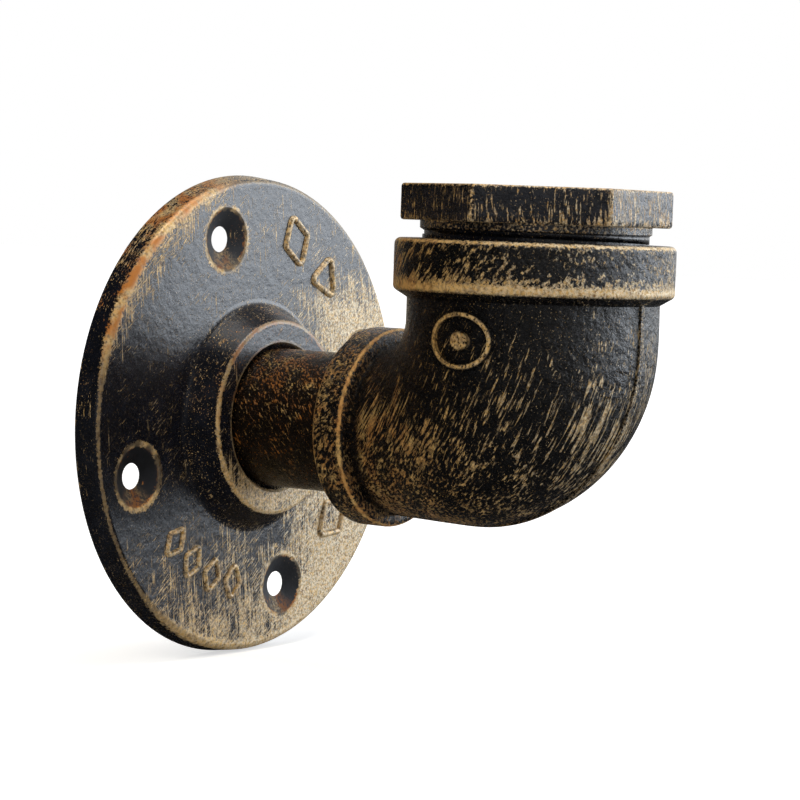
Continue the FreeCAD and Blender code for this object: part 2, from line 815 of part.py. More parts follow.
makers = [
    wall_flange, pipe_nipple, reducing_elbow, hex_bushing, holder_gasket, retaining_ring,
    lampholder_body, screw_shell, shell_screws, anchor_nut,
    contact_bush, contact_plunger, contact_spring,
    live_terminal, neutral_terminal, terminal_screws, terminal_ferrules,
    connector_block, connector_tubes, connector_screws, connector_ferrules,
    live_lead, neutral_lead, earth_lead, earth_lug, earth_washer, earth_screw,
]

os.makedirs("parts", exist_ok=True)
for make in makers:
    shape = make()
    shape.exportStep("parts/" + make.__name__ + ".step")
    corners = shape.BoundBox
    low = [round(v, 2) for v in (corners.XMin, corners.YMin, corners.ZMin)]
    high = [round(v, 2) for v in (corners.XMax, corners.YMax, corners.ZMax)]
    print(make.__name__, "solids", len(shape.Solids), "valid", shape.isValid(),
          "volume", round(shape.Volume, 1), "box", low, high)
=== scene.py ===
# %% [markdown]
# A wall light made of cast pipe fittings, dressed in Blender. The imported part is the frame: its nodes
# stand where the construction put them, and they are kept wherever their shape is right. New pieces
# are made only for what solids leave plain: threads, a coil, soft leads and the foundry's raised marks.
# Everything is then painted with node-based finishes that read a place in millimetres on the object.

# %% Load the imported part
import json
import math

import bpy
from mathutils import Matrix, Vector


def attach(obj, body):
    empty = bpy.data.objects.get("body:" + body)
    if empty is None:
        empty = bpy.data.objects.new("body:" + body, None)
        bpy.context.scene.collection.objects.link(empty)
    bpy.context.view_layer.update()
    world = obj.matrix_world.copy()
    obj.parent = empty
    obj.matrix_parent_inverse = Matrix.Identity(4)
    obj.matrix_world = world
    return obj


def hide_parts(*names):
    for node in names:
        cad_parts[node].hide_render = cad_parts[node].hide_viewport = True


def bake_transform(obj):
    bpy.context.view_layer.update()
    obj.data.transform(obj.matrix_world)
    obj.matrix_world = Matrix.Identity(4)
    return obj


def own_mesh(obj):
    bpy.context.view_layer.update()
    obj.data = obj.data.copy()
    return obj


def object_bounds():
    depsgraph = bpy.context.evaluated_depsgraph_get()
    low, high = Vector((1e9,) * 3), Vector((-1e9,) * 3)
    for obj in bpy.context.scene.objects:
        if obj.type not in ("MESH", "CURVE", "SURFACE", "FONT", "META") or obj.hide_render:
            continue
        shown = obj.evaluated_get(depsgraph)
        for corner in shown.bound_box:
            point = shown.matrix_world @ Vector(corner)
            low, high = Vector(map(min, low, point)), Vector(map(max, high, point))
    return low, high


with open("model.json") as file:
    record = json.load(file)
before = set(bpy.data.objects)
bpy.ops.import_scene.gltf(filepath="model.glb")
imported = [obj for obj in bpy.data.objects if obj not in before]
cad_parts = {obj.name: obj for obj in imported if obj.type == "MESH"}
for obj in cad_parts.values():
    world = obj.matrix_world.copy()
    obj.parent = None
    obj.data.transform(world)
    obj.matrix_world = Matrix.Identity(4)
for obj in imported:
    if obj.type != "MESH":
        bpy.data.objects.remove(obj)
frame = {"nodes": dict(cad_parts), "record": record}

MM = 0.001
box_at_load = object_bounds()
nodes = frame["nodes"]

# %% [markdown]
# The camera comes first, because everything is judged through it. Its place, turn and lens were worked
# out from the outlines of the flange, the collars and the hex. A long lens far away keeps the ovals of
# the flange and the collars as flat as they are in the picture.

# %% Camera
CAMERA_PLACE = (-443.61, -358.82, 39.56)
CAMERA_AZIMUTH = -54.28
CAMERA_ELEVATION = 3.589
CAMERA_ROLL = 2.054
CAMERA_LENS = 130.25


def new_object(name, data):
    made = bpy.data.objects.new(name, data)
    bpy.context.collection.objects.link(made)
    return made


def turned_towards(azimuth, elevation, roll):
    """Rotation of a camera or lamp that looks at the object from that azimuth and elevation."""
    a, e, r = (math.radians(angle) for angle in (azimuth, elevation, roll))
    back = Vector((math.sin(a) * math.cos(e), -math.cos(a) * math.cos(e), math.sin(e)))
    level = Vector((math.cos(a), math.sin(a), 0))
    upright = back.cross(level)
    right = math.cos(r) * level + math.sin(r) * upright
    up = math.cos(r) * upright - math.sin(r) * level
    return Matrix((right, up, back)).transposed().to_4x4()


camera_data = bpy.data.cameras.new("Camera")
camera_data.lens = CAMERA_LENS
camera_data.sensor_width = 36
camera_data.clip_start = 0.01
camera = new_object("Camera", camera_data)
camera.matrix_world = (Matrix.Translation(Vector(CAMERA_PLACE) * MM)
                       @ turned_towards(CAMERA_AZIMUTH, CAMERA_ELEVATION, CAMERA_ROLL))
bpy.context.scene.camera = camera
bpy.context.scene.view_settings.view_transform = "Standard"
print("camera", [round(v, 4) for v in camera.matrix_world.translation])

# %% [markdown]
# Node trees are easier to read when one call adds a node, sets it up and joins its inputs. These few
# helpers are all that the materials and the modifiers below are written with. A value is either a
# number or colour, or another node's output, and an output knows its own tree, so sums of values can
# be written without naming it.


# %% Helpers for node trees
def join(tree, socket, value):
    if isinstance(value, bpy.types.NodeSocket):
        tree.links.new(value, socket)
    elif value is not None:
        socket.default_value = value


def put(tree, kind, values=(), **settings):
    """Adds a node. Values is a list in socket order, or a dictionary by socket name."""
    node = tree.nodes.new(kind)
    for name, setting in settings.items():
        setattr(node, name, setting)
    pairs = values.items() if isinstance(values, dict) else enumerate(values)
    for key, value in pairs:
        join(tree, node.inputs[key], value)
    return node


def tree_of(*values):
    """The tree that the first output among some values belongs to."""
    return next(value.id_data for value in values if isinstance(value, bpy.types.NodeSocket))


def maths(operation, *values):
    return put(tree_of(*values), "ShaderNodeMath", values, operation=operation).outputs[0]


def chained(operation, values):
    result = values[0]
    for value in values[1:]:
        result = maths(operation, result, value)
    return result


def plus(*values):
    return chained("ADD", values)


def times(*values):
    return chained("MULTIPLY", values)


def most(*values):
    """The strongest of several masks."""
    return chained("MAXIMUM", values)


def minus(value, taken):
    return maths("SUBTRACT", value, taken)


def over(value, divisor):
    return maths("DIVIDE", value, divisor)


def rest_of(share):
    return minus(1.0, share)


def part_way(share, start, end):
    """From start to end by a share."""
    return plus(start, times(share, minus(end, start)))


def ease(value, start, end, low=0.0, high=1.0):
    """Smooth step from low to high as a value goes from start to end."""
    values = [value, start, end, low, high]
    return put(tree_of(value), "ShaderNodeMapRange", values, interpolation_type="SMOOTHSTEP").outputs[0]


def vector(x, y, z=0.0):
    return put(tree_of(x, y, z), "ShaderNodeCombineXYZ", [x, y, z]).outputs[0]


def split(place):
    return put(tree_of(place), "ShaderNodeSeparateXYZ", [place]).outputs


def vector_maths(operation, *values):
    return put(tree_of(*values), "ShaderNodeVectorMath", values, operation=operation).outputs


def length_of(line):
    return vector_maths("LENGTH", line)["Value"]


def facing(heading, direction):
    """How far a heading points in a direction: 1 along it, 0 across it."""
    return vector_maths("DOT_PRODUCT", heading, direction)["Value"]


def noise(place, scale, detail=2.0, roughness=0.5):
    values = {"Vector": place, "Scale": scale, "Detail": detail, "Roughness": roughness}
    return put(tree_of(place), "ShaderNodeTexNoise", values).outputs[0]


def between(share, first, second):
    """Mix of two colours."""
    tree = tree_of(share)
    node = put(tree, "ShaderNodeMix", data_type="RGBA")
    for index, value in ((0, share), (6, first), (7, second)):
        join(tree, node.inputs[index], value)
    return node.outputs[2]


KINDS = {float: "Float", int: "Int", tuple: "Color"}


def start_group(name, inputs, outputs, kind_of_tree="ShaderNodeTree"):
    """New group. Each input has its default, or its kind if it has none, and each output its kind."""
    tree = bpy.data.node_groups.new(name, kind_of_tree)
    for label, default in inputs.items():
        kind = KINDS.get(type(default), default)
        socket = tree.interface.new_socket(name=label, in_out="INPUT", socket_type="NodeSocket" + kind)
        if kind != default:
            socket.default_value = default
    for label, kind in outputs.items():
        tree.interface.new_socket(name=label, in_out="OUTPUT", socket_type="NodeSocket" + kind)
    return tree, tree.nodes.new("NodeGroupInput").outputs, tree.nodes.new("NodeGroupOutput").inputs


def use(tree, group, values=None):
    node = put(tree, "ShaderNodeGroup", node_tree=group)
    for key, value in (values or {}).items():
        join(tree, node.inputs[key], value)
    return node.outputs


print("helpers ready")

# %% [markdown]
# The object stands on nothing in the picture, on plain white. Here a pale floor touches the flange's
# lowest point and keeps a soft shadow. White comes from what the camera's own rays see: the world is
# 1 for them, and the floor adds a glow for them alone, so no lamp has to be raised to whiten it. The
# paint mirrors a dark floor, since a white one would wash out its blacks from below.
# Reflections see a bright side to the right, a dimmer panel beside the camera and dark elsewhere, as
# in a small photo tent, and that is what makes the black paint read blue-grey on the flange.

# %% World
WHITE = (1.0, 1.0, 1.0, 1.0)
BRIGHT_SIDE = Vector((0.90, -0.30, -0.05)).normalized()
TENT_GLOW = 1.21
TENT_DARK = 0.002
CAMERA_SIDE = Vector((-0.66, -0.70, 0.27)).normalized()
PANEL_GLOW = 0.62
AMBIENT_DIM = 0.13
AMBIENT_BRIGHT = 0.42

world = bpy.data.worlds.new("Studio")
bpy.context.scene.world = world
world.use_nodes = True
sky = world.node_tree
sky.nodes.clear()
ray = put(sky, "ShaderNodeLightPath").outputs
heading = put(sky, "ShaderNodeTexCoord").outputs["Generated"]
aim = facing(heading, BRIGHT_SIDE)
tent = ease(aim, 0.15, 0.85, TENT_DARK, TENT_GLOW)
ambient = ease(aim, -0.9, 0.9, AMBIENT_DIM, AMBIENT_BRIGHT)
panel = ease(facing(heading, CAMERA_SIDE), 0.88, 0.99, 0.0, PANEL_GLOW)
glossy_or_soft = plus(times(ray["Is Glossy Ray"], most(tent, panel)),
                      times(rest_of(ray["Is Glossy Ray"]), ambient))
seen = most(ray["Is Camera Ray"], ray["Is Transmission Ray"])
strength = most(seen, glossy_or_soft)
background = put(sky, "ShaderNodeBackground", [WHITE, strength])
put(sky, "ShaderNodeOutputWorld", [background.outputs[0]])
print("world nodes", len(sky.nodes))


# %% Floor
def new_material(name):
    """Material with an empty tree but for its Principled shader and output."""
    material = bpy.data.materials.new(name)
    material.use_nodes = True
    tree = material.node_tree
    return material, tree, tree.nodes["Principled BSDF"]


def mesh_object(name, points, faces, material=None):
    mesh = bpy.data.meshes.new(name)
    mesh.from_pydata(points, [], faces)
    mesh.update()
    if material is not None:
        mesh.materials.append(material)
    return new_object(name, mesh)


FLOOR_GLOW_NEAR = 0.60
FLOOR_GLOW_FAR = 1.0
FLOOR_REACH = 4.0
FLOOR_COLOUR = (0.80, 0.80, 0.80, 1.0)
FLOOR_MIRRORED = (0.015, 0.015, 0.017, 1.0)
floor_paint, floor_tree, floor_shader = new_material("pale_floor")
floor_ray = put(floor_tree, "ShaderNodeLightPath").outputs
floor_shader.inputs["Emission Color"].default_value = WHITE
floor_place = put(floor_tree, "ShaderNodeTexCoord").outputs["Object"]
far_glow = ease(length_of(floor_place), 0.25, 1.1, FLOOR_GLOW_NEAR, FLOOR_GLOW_FAR)
for name, value in (("Base Color", between(floor_ray["Is Glossy Ray"], FLOOR_COLOUR, FLOOR_MIRRORED)),
                    ("Roughness", ease(noise(floor_place, 9.0), 0.3, 0.7, 0.82, 0.94)),
                    ("Emission Strength", times(floor_ray["Is Camera Ray"], far_glow))):
    join(floor_tree, floor_shader.inputs[name], value)
floor_level = box_at_load[0][2]
corners = [(x * FLOOR_REACH, y * FLOOR_REACH, floor_level) for x, y in ((-1, -1), (1, -1), (1, 1), (-1, 1))]
floor = mesh_object("floor", corners, [(0, 1, 2, 3)], floor_paint)
print("floor at", round(floor_level / MM, 2), "mm")


# %% Lamps
LAMP_AIM = Vector((0, -0.045, 0.005))


def softbox(name, azimuth, elevation, distance, size, power, colour, mirrored=True):
    data = bpy.data.lights.new(name, "AREA")
    data.color = colour
    data.shape = "SQUARE"
    data.size = size
    data.energy = power
    lamp = new_object(name, data)
    turn = turned_towards(azimuth, elevation, 0)
    lamp.matrix_world = Matrix.Translation(LAMP_AIM + turn.to_3x3() @ Vector((0, 0, distance))) @ turn
    lamp.visible_glossy = mirrored
    return lamp


softbox("key softbox", 54, 12, 0.85, 0.72, 5.8, (0.82, 0.90, 1.0))
softbox("top softbox", 20, 80, 0.80, 0.46, 3.4, (1.0, 0.97, 0.93))
softbox("fill softbox", -76, 30, 1.00, 0.50, 4.4, (1.0, 0.89, 0.71), mirrored=False)

# %% [markdown]
# The hex bushing is turned stock: a threaded shank, a hexagon with softened edges, a lip, a bore and a
# groove for the ring that holds the lampholder. Each ring of its surface has one rule for its radius, so
# it is made as rings of points joined into a closed skin. The columns crowd towards the six corners,
# where the surface turns fastest, and an attribute remembers where an edge would be rubbed bright.

# %% Hex bushing
OUTLET = Vector((0, -69.0, 0))
HEX_HALF_FLATS = 21.6
HEX_CORNER_ROUND = 0.8
HEX_TURN = 5.3
HEX_BOTTOM = 39.4
HEX_TOP = 46.1
THREAD_ROOT = 20.4
THREAD_RUN_OUT = 1.3
THREAD_CREST = 21.2
THREAD_BOTTOM = 24.7
THREAD_PITCH = 2.209
LIP_RADIUS = 17.0
LIP_BOTTOM = 43.3
BUSHING_BORE = 18.6
GROOVE_RADIUS = 19.7
GROOVE_LOW = 38.35
GROOVE_HIGH = 39.65


def hex_radius(degrees):
    """Radius of a hexagon with rounded corners, at an angle from one of its corners."""
    half_side = math.radians(30)
    off_face = abs((degrees % 60) - 30)
    from_face = math.radians(off_face)
    inner = HEX_HALF_FLATS - HEX_CORNER_ROUND
    if from_face < math.atan(inner * math.tan(half_side) / HEX_HALF_FLATS):
        return HEX_HALF_FLATS / math.cos(from_face)
    centre = inner / math.cos(half_side)
    off_corner = half_side - from_face
    return (centre * math.cos(off_corner)
            + math.sqrt(HEX_CORNER_ROUND ** 2 - (centre * math.sin(off_corner)) ** 2))


def crowded_columns(per_half, crowding):
    """Angles round the hexagon in degrees from a corner, close together at each corner."""
    half = [30 * (step / per_half) ** crowding for step in range(per_half)]
    one_side = half + [60 - angle for angle in [30] + half[:0:-1]]
    return [60 * side + angle for side in range(6) for angle in one_side]


def skin_of_rings(name, columns, rings, turn, wear=None):
    """Closed skin about the outlet axis. A ring is (radius, z), and a radius may be a rule of the angle."""
    points = []
    worn = []
    for radius, z in rings:
        for angle in columns:
            reach = radius(angle) if callable(radius) else radius
            at = math.radians(angle + turn)
            points.append((OUTLET + Vector((reach * math.cos(at), reach * math.sin(at), z))) * MM)
            worn.append(wear(angle, z, reach) if wear else 0.0)
    across = len(columns)
    faces = []
    for row in range(len(rings)):
        above = (row + 1) % len(rings)
        for column in range(across):
            beside = (column + 1) % across
            faces.append((row * across + column, row * across + beside,
                          above * across + beside, above * across + column))
    made = mesh_object(name, points, faces)
    attribute = made.data.attributes.new("worn", "FLOAT", "POINT")
    attribute.data.foreach_set("value", worn)
    made.data.shade_smooth()
    made.data.set_sharp_from_angle(angle=math.radians(38))
    return made


def hex_wear(angle, z, reach):
    """1 on the top and bottom edges and less down the six corners. The level faces have none."""
    if z < HEX_BOTTOM - 0.01 or hex_radius(angle) - reach > 1.0:
        return 0.0
    to_corner = min(angle % 60, 60 - angle % 60)
    corner = max(0.0, 1 - to_corner / 2.2)
    edge = max(0.0, 1 - (HEX_TOP - z) / 0.9, 0.75 * (1 - (z - HEX_BOTTOM) / 0.6))
    return min(1.0, max(corner * 0.8, edge))


def hex_less(inset):
    return lambda angle: hex_radius(angle) - inset


hex_rings = [
    (THREAD_ROOT - 0.5, THREAD_BOTTOM), (THREAD_ROOT, THREAD_BOTTOM + 0.5),
    (THREAD_ROOT, HEX_BOTTOM - THREAD_RUN_OUT - 0.5), (THREAD_CREST, HEX_BOTTOM - THREAD_RUN_OUT),
    (THREAD_CREST, HEX_BOTTOM),
    (hex_less(0.55), HEX_BOTTOM), (hex_less(0.16), HEX_BOTTOM + 0.16), (hex_less(0), HEX_BOTTOM + 0.55),
    (hex_less(0), HEX_BOTTOM + 1.4), (hex_less(0), HEX_TOP - 1.4),
    (hex_less(0), HEX_TOP - 0.6), (hex_less(0.08), HEX_TOP - 0.3), (hex_less(0.26), HEX_TOP - 0.09),
    (hex_less(0.6), HEX_TOP), (hex_less(1.1), HEX_TOP), (hex_less(1.8), HEX_TOP),
    (LIP_RADIUS + 0.8, HEX_TOP), (LIP_RADIUS + 0.3, HEX_TOP), (LIP_RADIUS + 0.08, HEX_TOP - 0.1),
    (LIP_RADIUS, HEX_TOP - 0.35), (LIP_RADIUS, LIP_BOTTOM), (BUSHING_BORE, LIP_BOTTOM),
    (BUSHING_BORE, GROOVE_HIGH), (GROOVE_RADIUS, GROOVE_HIGH),
    (GROOVE_RADIUS, GROOVE_LOW), (BUSHING_BORE, GROOVE_LOW),
    (BUSHING_BORE, THREAD_BOTTOM + 0.3), (BUSHING_BORE + 0.2, THREAD_BOTTOM),
]
bushing = skin_of_rings("hex_bushing_body", crowded_columns(16, 2.5), hex_rings, HEX_TURN, hex_wear)
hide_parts("hex_bushing")
print("bushing faces", len(bushing.data.polygons), "corner radius", round(hex_radius(0), 2))

# %% [markdown]
# A thread and a coil spring are the same thing to Geometry Nodes: a profile swept along a spiral. One
# tree makes both. The thread is a three-sided ridge sunk in the shank, the spring a round wire. Swept
# shapes stay editable by their inputs until they are turned into plain meshes, which the frame wants.


# %% Spiral tree
def start_modifier_tree(name, inputs):
    return start_group(name, inputs, {"Geometry": "Geometry"}, "GeometryNodeTree")


def shape(tree, kind, values=(), **settings):
    """Adds a geometry node and gives its first output."""
    return put(tree, "GeometryNode" + kind, values, **settings).outputs[0]


def close_tree(tree, made, material, wanted):
    """Ends a tree in real geometry with its material."""
    real = shape(tree, "RealizeInstances", [made])
    join(tree, wanted[0], shape(tree, "SetMaterial", {"Geometry": real, "Material": material}))


def from_tree(name, tree, values):
    """Runs a tree on an empty mesh and keeps the result as a plain mesh object."""
    carrier = mesh_object(name + "_carrier", [], [])
    modifier = carrier.modifiers.new("shape", "NODES")
    modifier.node_group = tree
    sockets = {item.name: item.identifier for item in tree.interface.items_tree if item.in_out == "INPUT"}
    for label, value in values.items():
        modifier[sockets[label]] = value
    bpy.context.view_layer.update()
    evaluated = carrier.evaluated_get(bpy.context.evaluated_depsgraph_get())
    mesh = bpy.data.meshes.new_from_object(evaluated)
    mesh.name = name
    carrier.modifiers.remove(modifier)
    bpy.data.objects.remove(carrier)
    return new_object(name, mesh)


spiral_tree, given, wanted = start_modifier_tree("Swept spiral", {
    "Turns": 4.0, "Radius": 0.01, "Height": 0.01, "Profile radius": 0.001, "Profile sides": 12,
    "Profile turn": 0.0, "Steps a turn": 48, "Middle": "Vector", "Material": "Material"})
spiral = shape(spiral_tree, "CurveSpiral", {
    "Resolution": given["Steps a turn"], "Rotations": given["Turns"], "Start Radius": given["Radius"],
    "End Radius": given["Radius"], "Height": given["Height"]})
spiral = shape(spiral_tree, "SetCurveNormal", {"Curve": spiral}, mode="Z_UP")
section = shape(spiral_tree, "CurvePrimitiveCircle", {
    "Resolution": given["Profile sides"], "Radius": given["Profile radius"]}, mode="RADIUS")
section = shape(spiral_tree, "Transform", {
    "Geometry": section, "Rotation": vector(0.0, 0.0, given["Profile turn"])})
swept = shape(spiral_tree, "CurveToMesh", {"Curve": spiral, "Profile Curve": section, "Fill Caps": True})
swept = shape(spiral_tree, "Transform", {"Geometry": swept, "Translation": given["Middle"]})
close_tree(spiral_tree, swept, given["Material"], wanted)
print("tree", spiral_tree.name, "nodes", len(spiral_tree.nodes))

# %% [markdown]
# First come the finishes, because the trees take their material as an input. The casting, the pipe
# and the bushing share one look: satin black paint, dry-brushed with a gold that catches on edges and
# leaves ragged strokes on the faces. It is split into groups that each do one thing: where a point is,
# how near it is to a turned edge, where the brush left gold, and what paint and gold look like.


# %% Where a point is
def make_round_coordinates():
    """Place in millimetres, distance from the pipe's axis and the outlet's, and how the surface faces."""
    tree, _, wanted = start_group("Round coordinates", {}, {
        "Place": "Vector", "Pipe radius": "Float", "Out": "Float", "Outlet radius": "Float",
        "Height": "Float", "Across": "Float", "Facing up": "Float", "Facing wall": "Float"})
    texture_place = put(tree, "ShaderNodeTexCoord").outputs
    place = put(tree, "ShaderNodeVectorMath", {0: texture_place["Object"], "Scale": 1 / MM},
                operation="SCALE").outputs[0]
    x, y, z = split(place)
    _, towards_wall, upwards = split(texture_place["Normal"])
    values = {"Place": place, "Pipe radius": length_of(vector(x, 0.0, z)), "Out": times(y, -1.0),
              "Outlet radius": length_of(vector(x, plus(y, -OUTLET.y))), "Height": z, "Across": x,
              "Facing up": upwards, "Facing wall": towards_wall}
    for name, value in values.items():
        join(tree, wanted[name], value)
    return tree


round_coordinates = make_round_coordinates()
print("group", round_coordinates.name)


# %% How near a turned edge is
RAGGEDNESS = 2.6


def make_ring_edge():
    """1 on a round edge, falling to 0 at Reach, with a ragged border."""
    tree, given, wanted = start_group("Ring edge", {
        "Across": 0.0, "Along": 0.0, "Edge across": 0.0, "Edge along": 0.0, "Reach": 1.0, "Ragged": 0.5},
        {"Mask": "Float"})
    off_across = minus(given["Across"], given["Edge across"])
    off_along = minus(given["Along"], given["Edge along"])
    share = over(length_of(vector(off_across, off_along)), given["Reach"])
    ragged = times(minus(given["Ragged"], 0.5), RAGGEDNESS)
    join(tree, wanted[0], ease(plus(share, ragged), 0.55, 1.0, 1.0, 0.0))
    return tree


ring_edge = make_ring_edge()
print("group", ring_edge.name)


# %% Where the brush left gold
STREAK_SHARE = 0.72
BARE_LEVEL = 0.645
COVER_SPAN = 0.28


def make_brush_strokes():
    """Ragged strokes along the turned Z axis. Cover goes from 0, bare, to 1, covered."""
    tree, given, wanted = start_group("Brush strokes", {
        "Place": "Vector", "Turn": "Vector", "Width": 0.5, "Length": 3.0, "Cover": 0.2, "Skips": 0.5},
        {"Mask": "Float"})
    turned = put(tree, "ShaderNodeVectorRotate", {"Vector": given["Place"], "Rotation": given["Turn"]},
                 rotation_type="EULER_XYZ").outputs[0]
    x, y, z = split(turned)
    stretched = vector(over(x, given["Width"]), over(y, given["Width"]), over(z, given["Length"]))
    streaks = noise(stretched, 0.5, 3.0, 0.6)
    patches = noise(turned, 0.16, 2.0, 0.6)
    mixed = plus(times(streaks, STREAK_SHARE), times(patches, 1 - STREAK_SHARE))
    level = minus(BARE_LEVEL, times(given["Cover"], COVER_SPAN))
    laid = ease(minus(mixed, level), -0.005, 0.045)
    crumbs = noise(turned, 2.6, 3.0, 0.7)
    skipped = times(ease(crumbs, 0.56, 0.44), given["Skips"])
    join(tree, wanted[0], times(laid, rest_of(skipped)))
    return tree


brush_strokes = make_brush_strokes()
print("group", brush_strokes.name)


# %% What paint and gold look like
GOLD = (0.68, 0.43, 0.14, 1.0)
# Pale gold is the gold's paler tone, and also the painted highlight that callers lay on lit right sides.
PALE_AND_LIT_GOLD = (0.82, 0.70, 0.50, 1.0)
# Copper gold is a deeper tone of the gold, and also the painted warm light that the flange lays on its upper
# left and hub top.
COPPER_AND_WARM_LIT_GOLD = (0.50, 0.17, 0.018, 1.0)
SHADED_GOLD = (0.24, 0.125, 0.030, 1.0)
GOLD_METALLIC = 0.30
SATIN_ROUGHNESS = 0.17
MOTTLE_LIGHTER = 1.6


def make_antique_finish():
    """Cast skin under satin paint, with gold brushed over it. Its pale and copper shares also carry painted
    highlight and painted warm light where callers give them.
    """
    tree, given, wanted = start_group("Antique finish", {
        "Place": "Vector", "Paint": (0.02, 0.02, 0.025, 1.0), "Gold": 0.0, "Pale": 0.2, "Copper": 0.2,
        "Dull": 0.0, "Specks": 1.0},
        {"Color": "Color", "Roughness": "Float", "Metallic": "Float", "Height": "Float"})
    mottle = noise(given["Place"], 0.30, 2.0)
    dimples = noise(given["Place"], 0.55, 1.0)
    grain = noise(given["Place"], 1.9, 4.0, 0.65)
    dabs = noise(given["Place"], 1.2, 3.0, 0.6)
    specks = ease(noise(given["Place"], 3.4, 2.0, 0.6), 0.655, 0.72, 0.0, 0.75)
    brushed = most(given["Gold"], times(specks, given["Specks"]))
    lighter = put(tree, "ShaderNodeHueSaturation", {"Value": MOTTLE_LIGHTER, "Color": given["Paint"]})
    paint = between(ease(mottle, 0.42, 0.68), given["Paint"], lighter.outputs[0])
    # Pale share: a painted highlight where a caller marks a lit side, and a paler tone elsewhere.
    pale = times(given["Pale"], ease(grain, 0.35, 0.62))
    # Copper share: the gold's own copper tone, and painted warm light where the flange asks for it.
    copper = times(given["Copper"], ease(mottle, 0.38, 0.60))
    gold = between(ease(dabs, 0.36, 0.58), SHADED_GOLD, GOLD)
    gold = between(pale, gold, PALE_AND_LIT_GOLD)
    gold = between(copper, gold, COPPER_AND_WARM_LIT_GOLD)
    join(tree, wanted["Color"], between(brushed, paint, gold))
    satin = plus(SATIN_ROUGHNESS, times(grain, 0.18))
    worn = plus(times(given["Gold"], 0.20), times(given["Dull"], 0.5))
    join(tree, wanted["Roughness"], plus(satin, worn))
    join(tree, wanted["Metallic"], times(given["Gold"], GOLD_METALLIC))
    skin = plus(times(grain, 0.6), times(dimples, 0.9))
    join(tree, wanted["Height"], plus(skin, times(given["Gold"], 0.25)))
    return tree


antique_finish = make_antique_finish()
print("group", antique_finish.name)


# %% Tools that paint with the groups
def start_finish(name):
    """Material for a piece of the object, with its shader and where each of its points is."""
    material, tree, shader = new_material(name)
    return material, shader, use(tree, round_coordinates)


def edge_mask(across, along, edge, reach, ragged):
    """Gold near a turned edge, which is given as its distance from the axis and its place along it."""
    values = {"Across": across, "Along": along, "Edge across": edge[0], "Edge along": edge[1],
              "Reach": reach, "Ragged": ragged}
    return use(tree_of(across), ring_edge, values)[0]


def strokes(place, lean, width, length, cover, skips=0.6):
    values = {"Place": place, "Turn": lean, "Width": width, "Length": length, "Cover": cover, "Skips": skips}
    return use(tree_of(place), brush_strokes, values)[0]


def join_finish(shader, finish, relief, strength=1.0):
    """Joins a finish group's outputs to a Principled shader, its height as a bump of that relief."""
    tree = shader.id_data
    bump = put(tree, "ShaderNodeBump", {"Strength": strength, "Distance": relief, "Height": finish["Height"]})
    join(tree, shader.inputs["Normal"], bump.outputs[0])
    join(tree, shader.inputs["Base Color"], finish["Color"])
    for name in ("Roughness", "Metallic"):
        if name in finish:
            join(tree, shader.inputs[name], finish[name])


def finish_antique(shader, place, paint, gold, relief, sheen=0.5, **more):
    """Paint with gold brushed over it. What more is given goes to the finish group's other inputs."""
    tree = shader.id_data
    join(tree, shader.inputs["Specular IOR Level"], sheen)
    values = {"Place": place, "Paint": paint, "Gold": gold, **more}
    join_finish(shader, use(tree, antique_finish, values), relief)


def dress(node, material):
    nodes[node].material_slots[0].material = material
    print(node, "wears", material.name, "with", len(material.node_tree.nodes), "nodes")


BLACK_PAINT = (0.0022, 0.0022, 0.0026, 1.0)
BLUE_BLACK_PAINT = (0.0040, 0.0048, 0.0080, 1.0)
BROWN_BLACK_PAINT = (0.0042, 0.0028, 0.0020, 1.0)
print("paints", BLACK_PAINT, BLUE_BLACK_PAINT)

# %% [markdown]
# The flange is a disc with a hub. Gold sits on its rim, its hub edges and the lips of its screw holes,
# and long upright strokes cover its right and lower parts. The four holes lie on a circle that is turned
# by a few degrees, so the place is turned back by that angle and folded into one quarter: one mask
# then paints all four lips. The hub's side is duller than the plate, and the back stayed bare. Light
# is painted into the gold too: pale gold as a painted highlight on the lit right side, a copper tint
# as painted warm light on the upper left and the hub's top, more gold as painted light on the hub's
# top and the up-facing floors of the holes, and fewer specks as painted shade on the left.

# %% Flange paint
PLATE_FRONT = 4.9
HOLE_CIRCLE = 35.85
HOLE_TURN = 16.9
SINK_EDGE = (6.2, PLATE_FRONT)
RIM_EDGE = (45.7, 4.75)
HUB_EDGE = (18.6, 10.8)
MOUTH_EDGE = (14.8, 10.9)
UPRIGHT_LEAN = (0.0, math.radians(6), 0.0)
SLANTED_LEAN = (0.0, math.radians(-48), 0.0)


def distance_to_hole(place):
    """Distance from the axis of the nearest screw hole, with the four folded onto one."""
    turned = put(tree_of(place), "ShaderNodeVectorRotate",
                 {"Vector": place, "Angle": math.radians(HOLE_TURN)}, rotation_type="Y_AXIS").outputs[0]
    a, _, b = split(vector_maths("ABSOLUTE", turned)[0])
    far, near = most(a, b), maths("MINIMUM", a, b)
    return length_of(vector(minus(far, HOLE_CIRCLE), near))


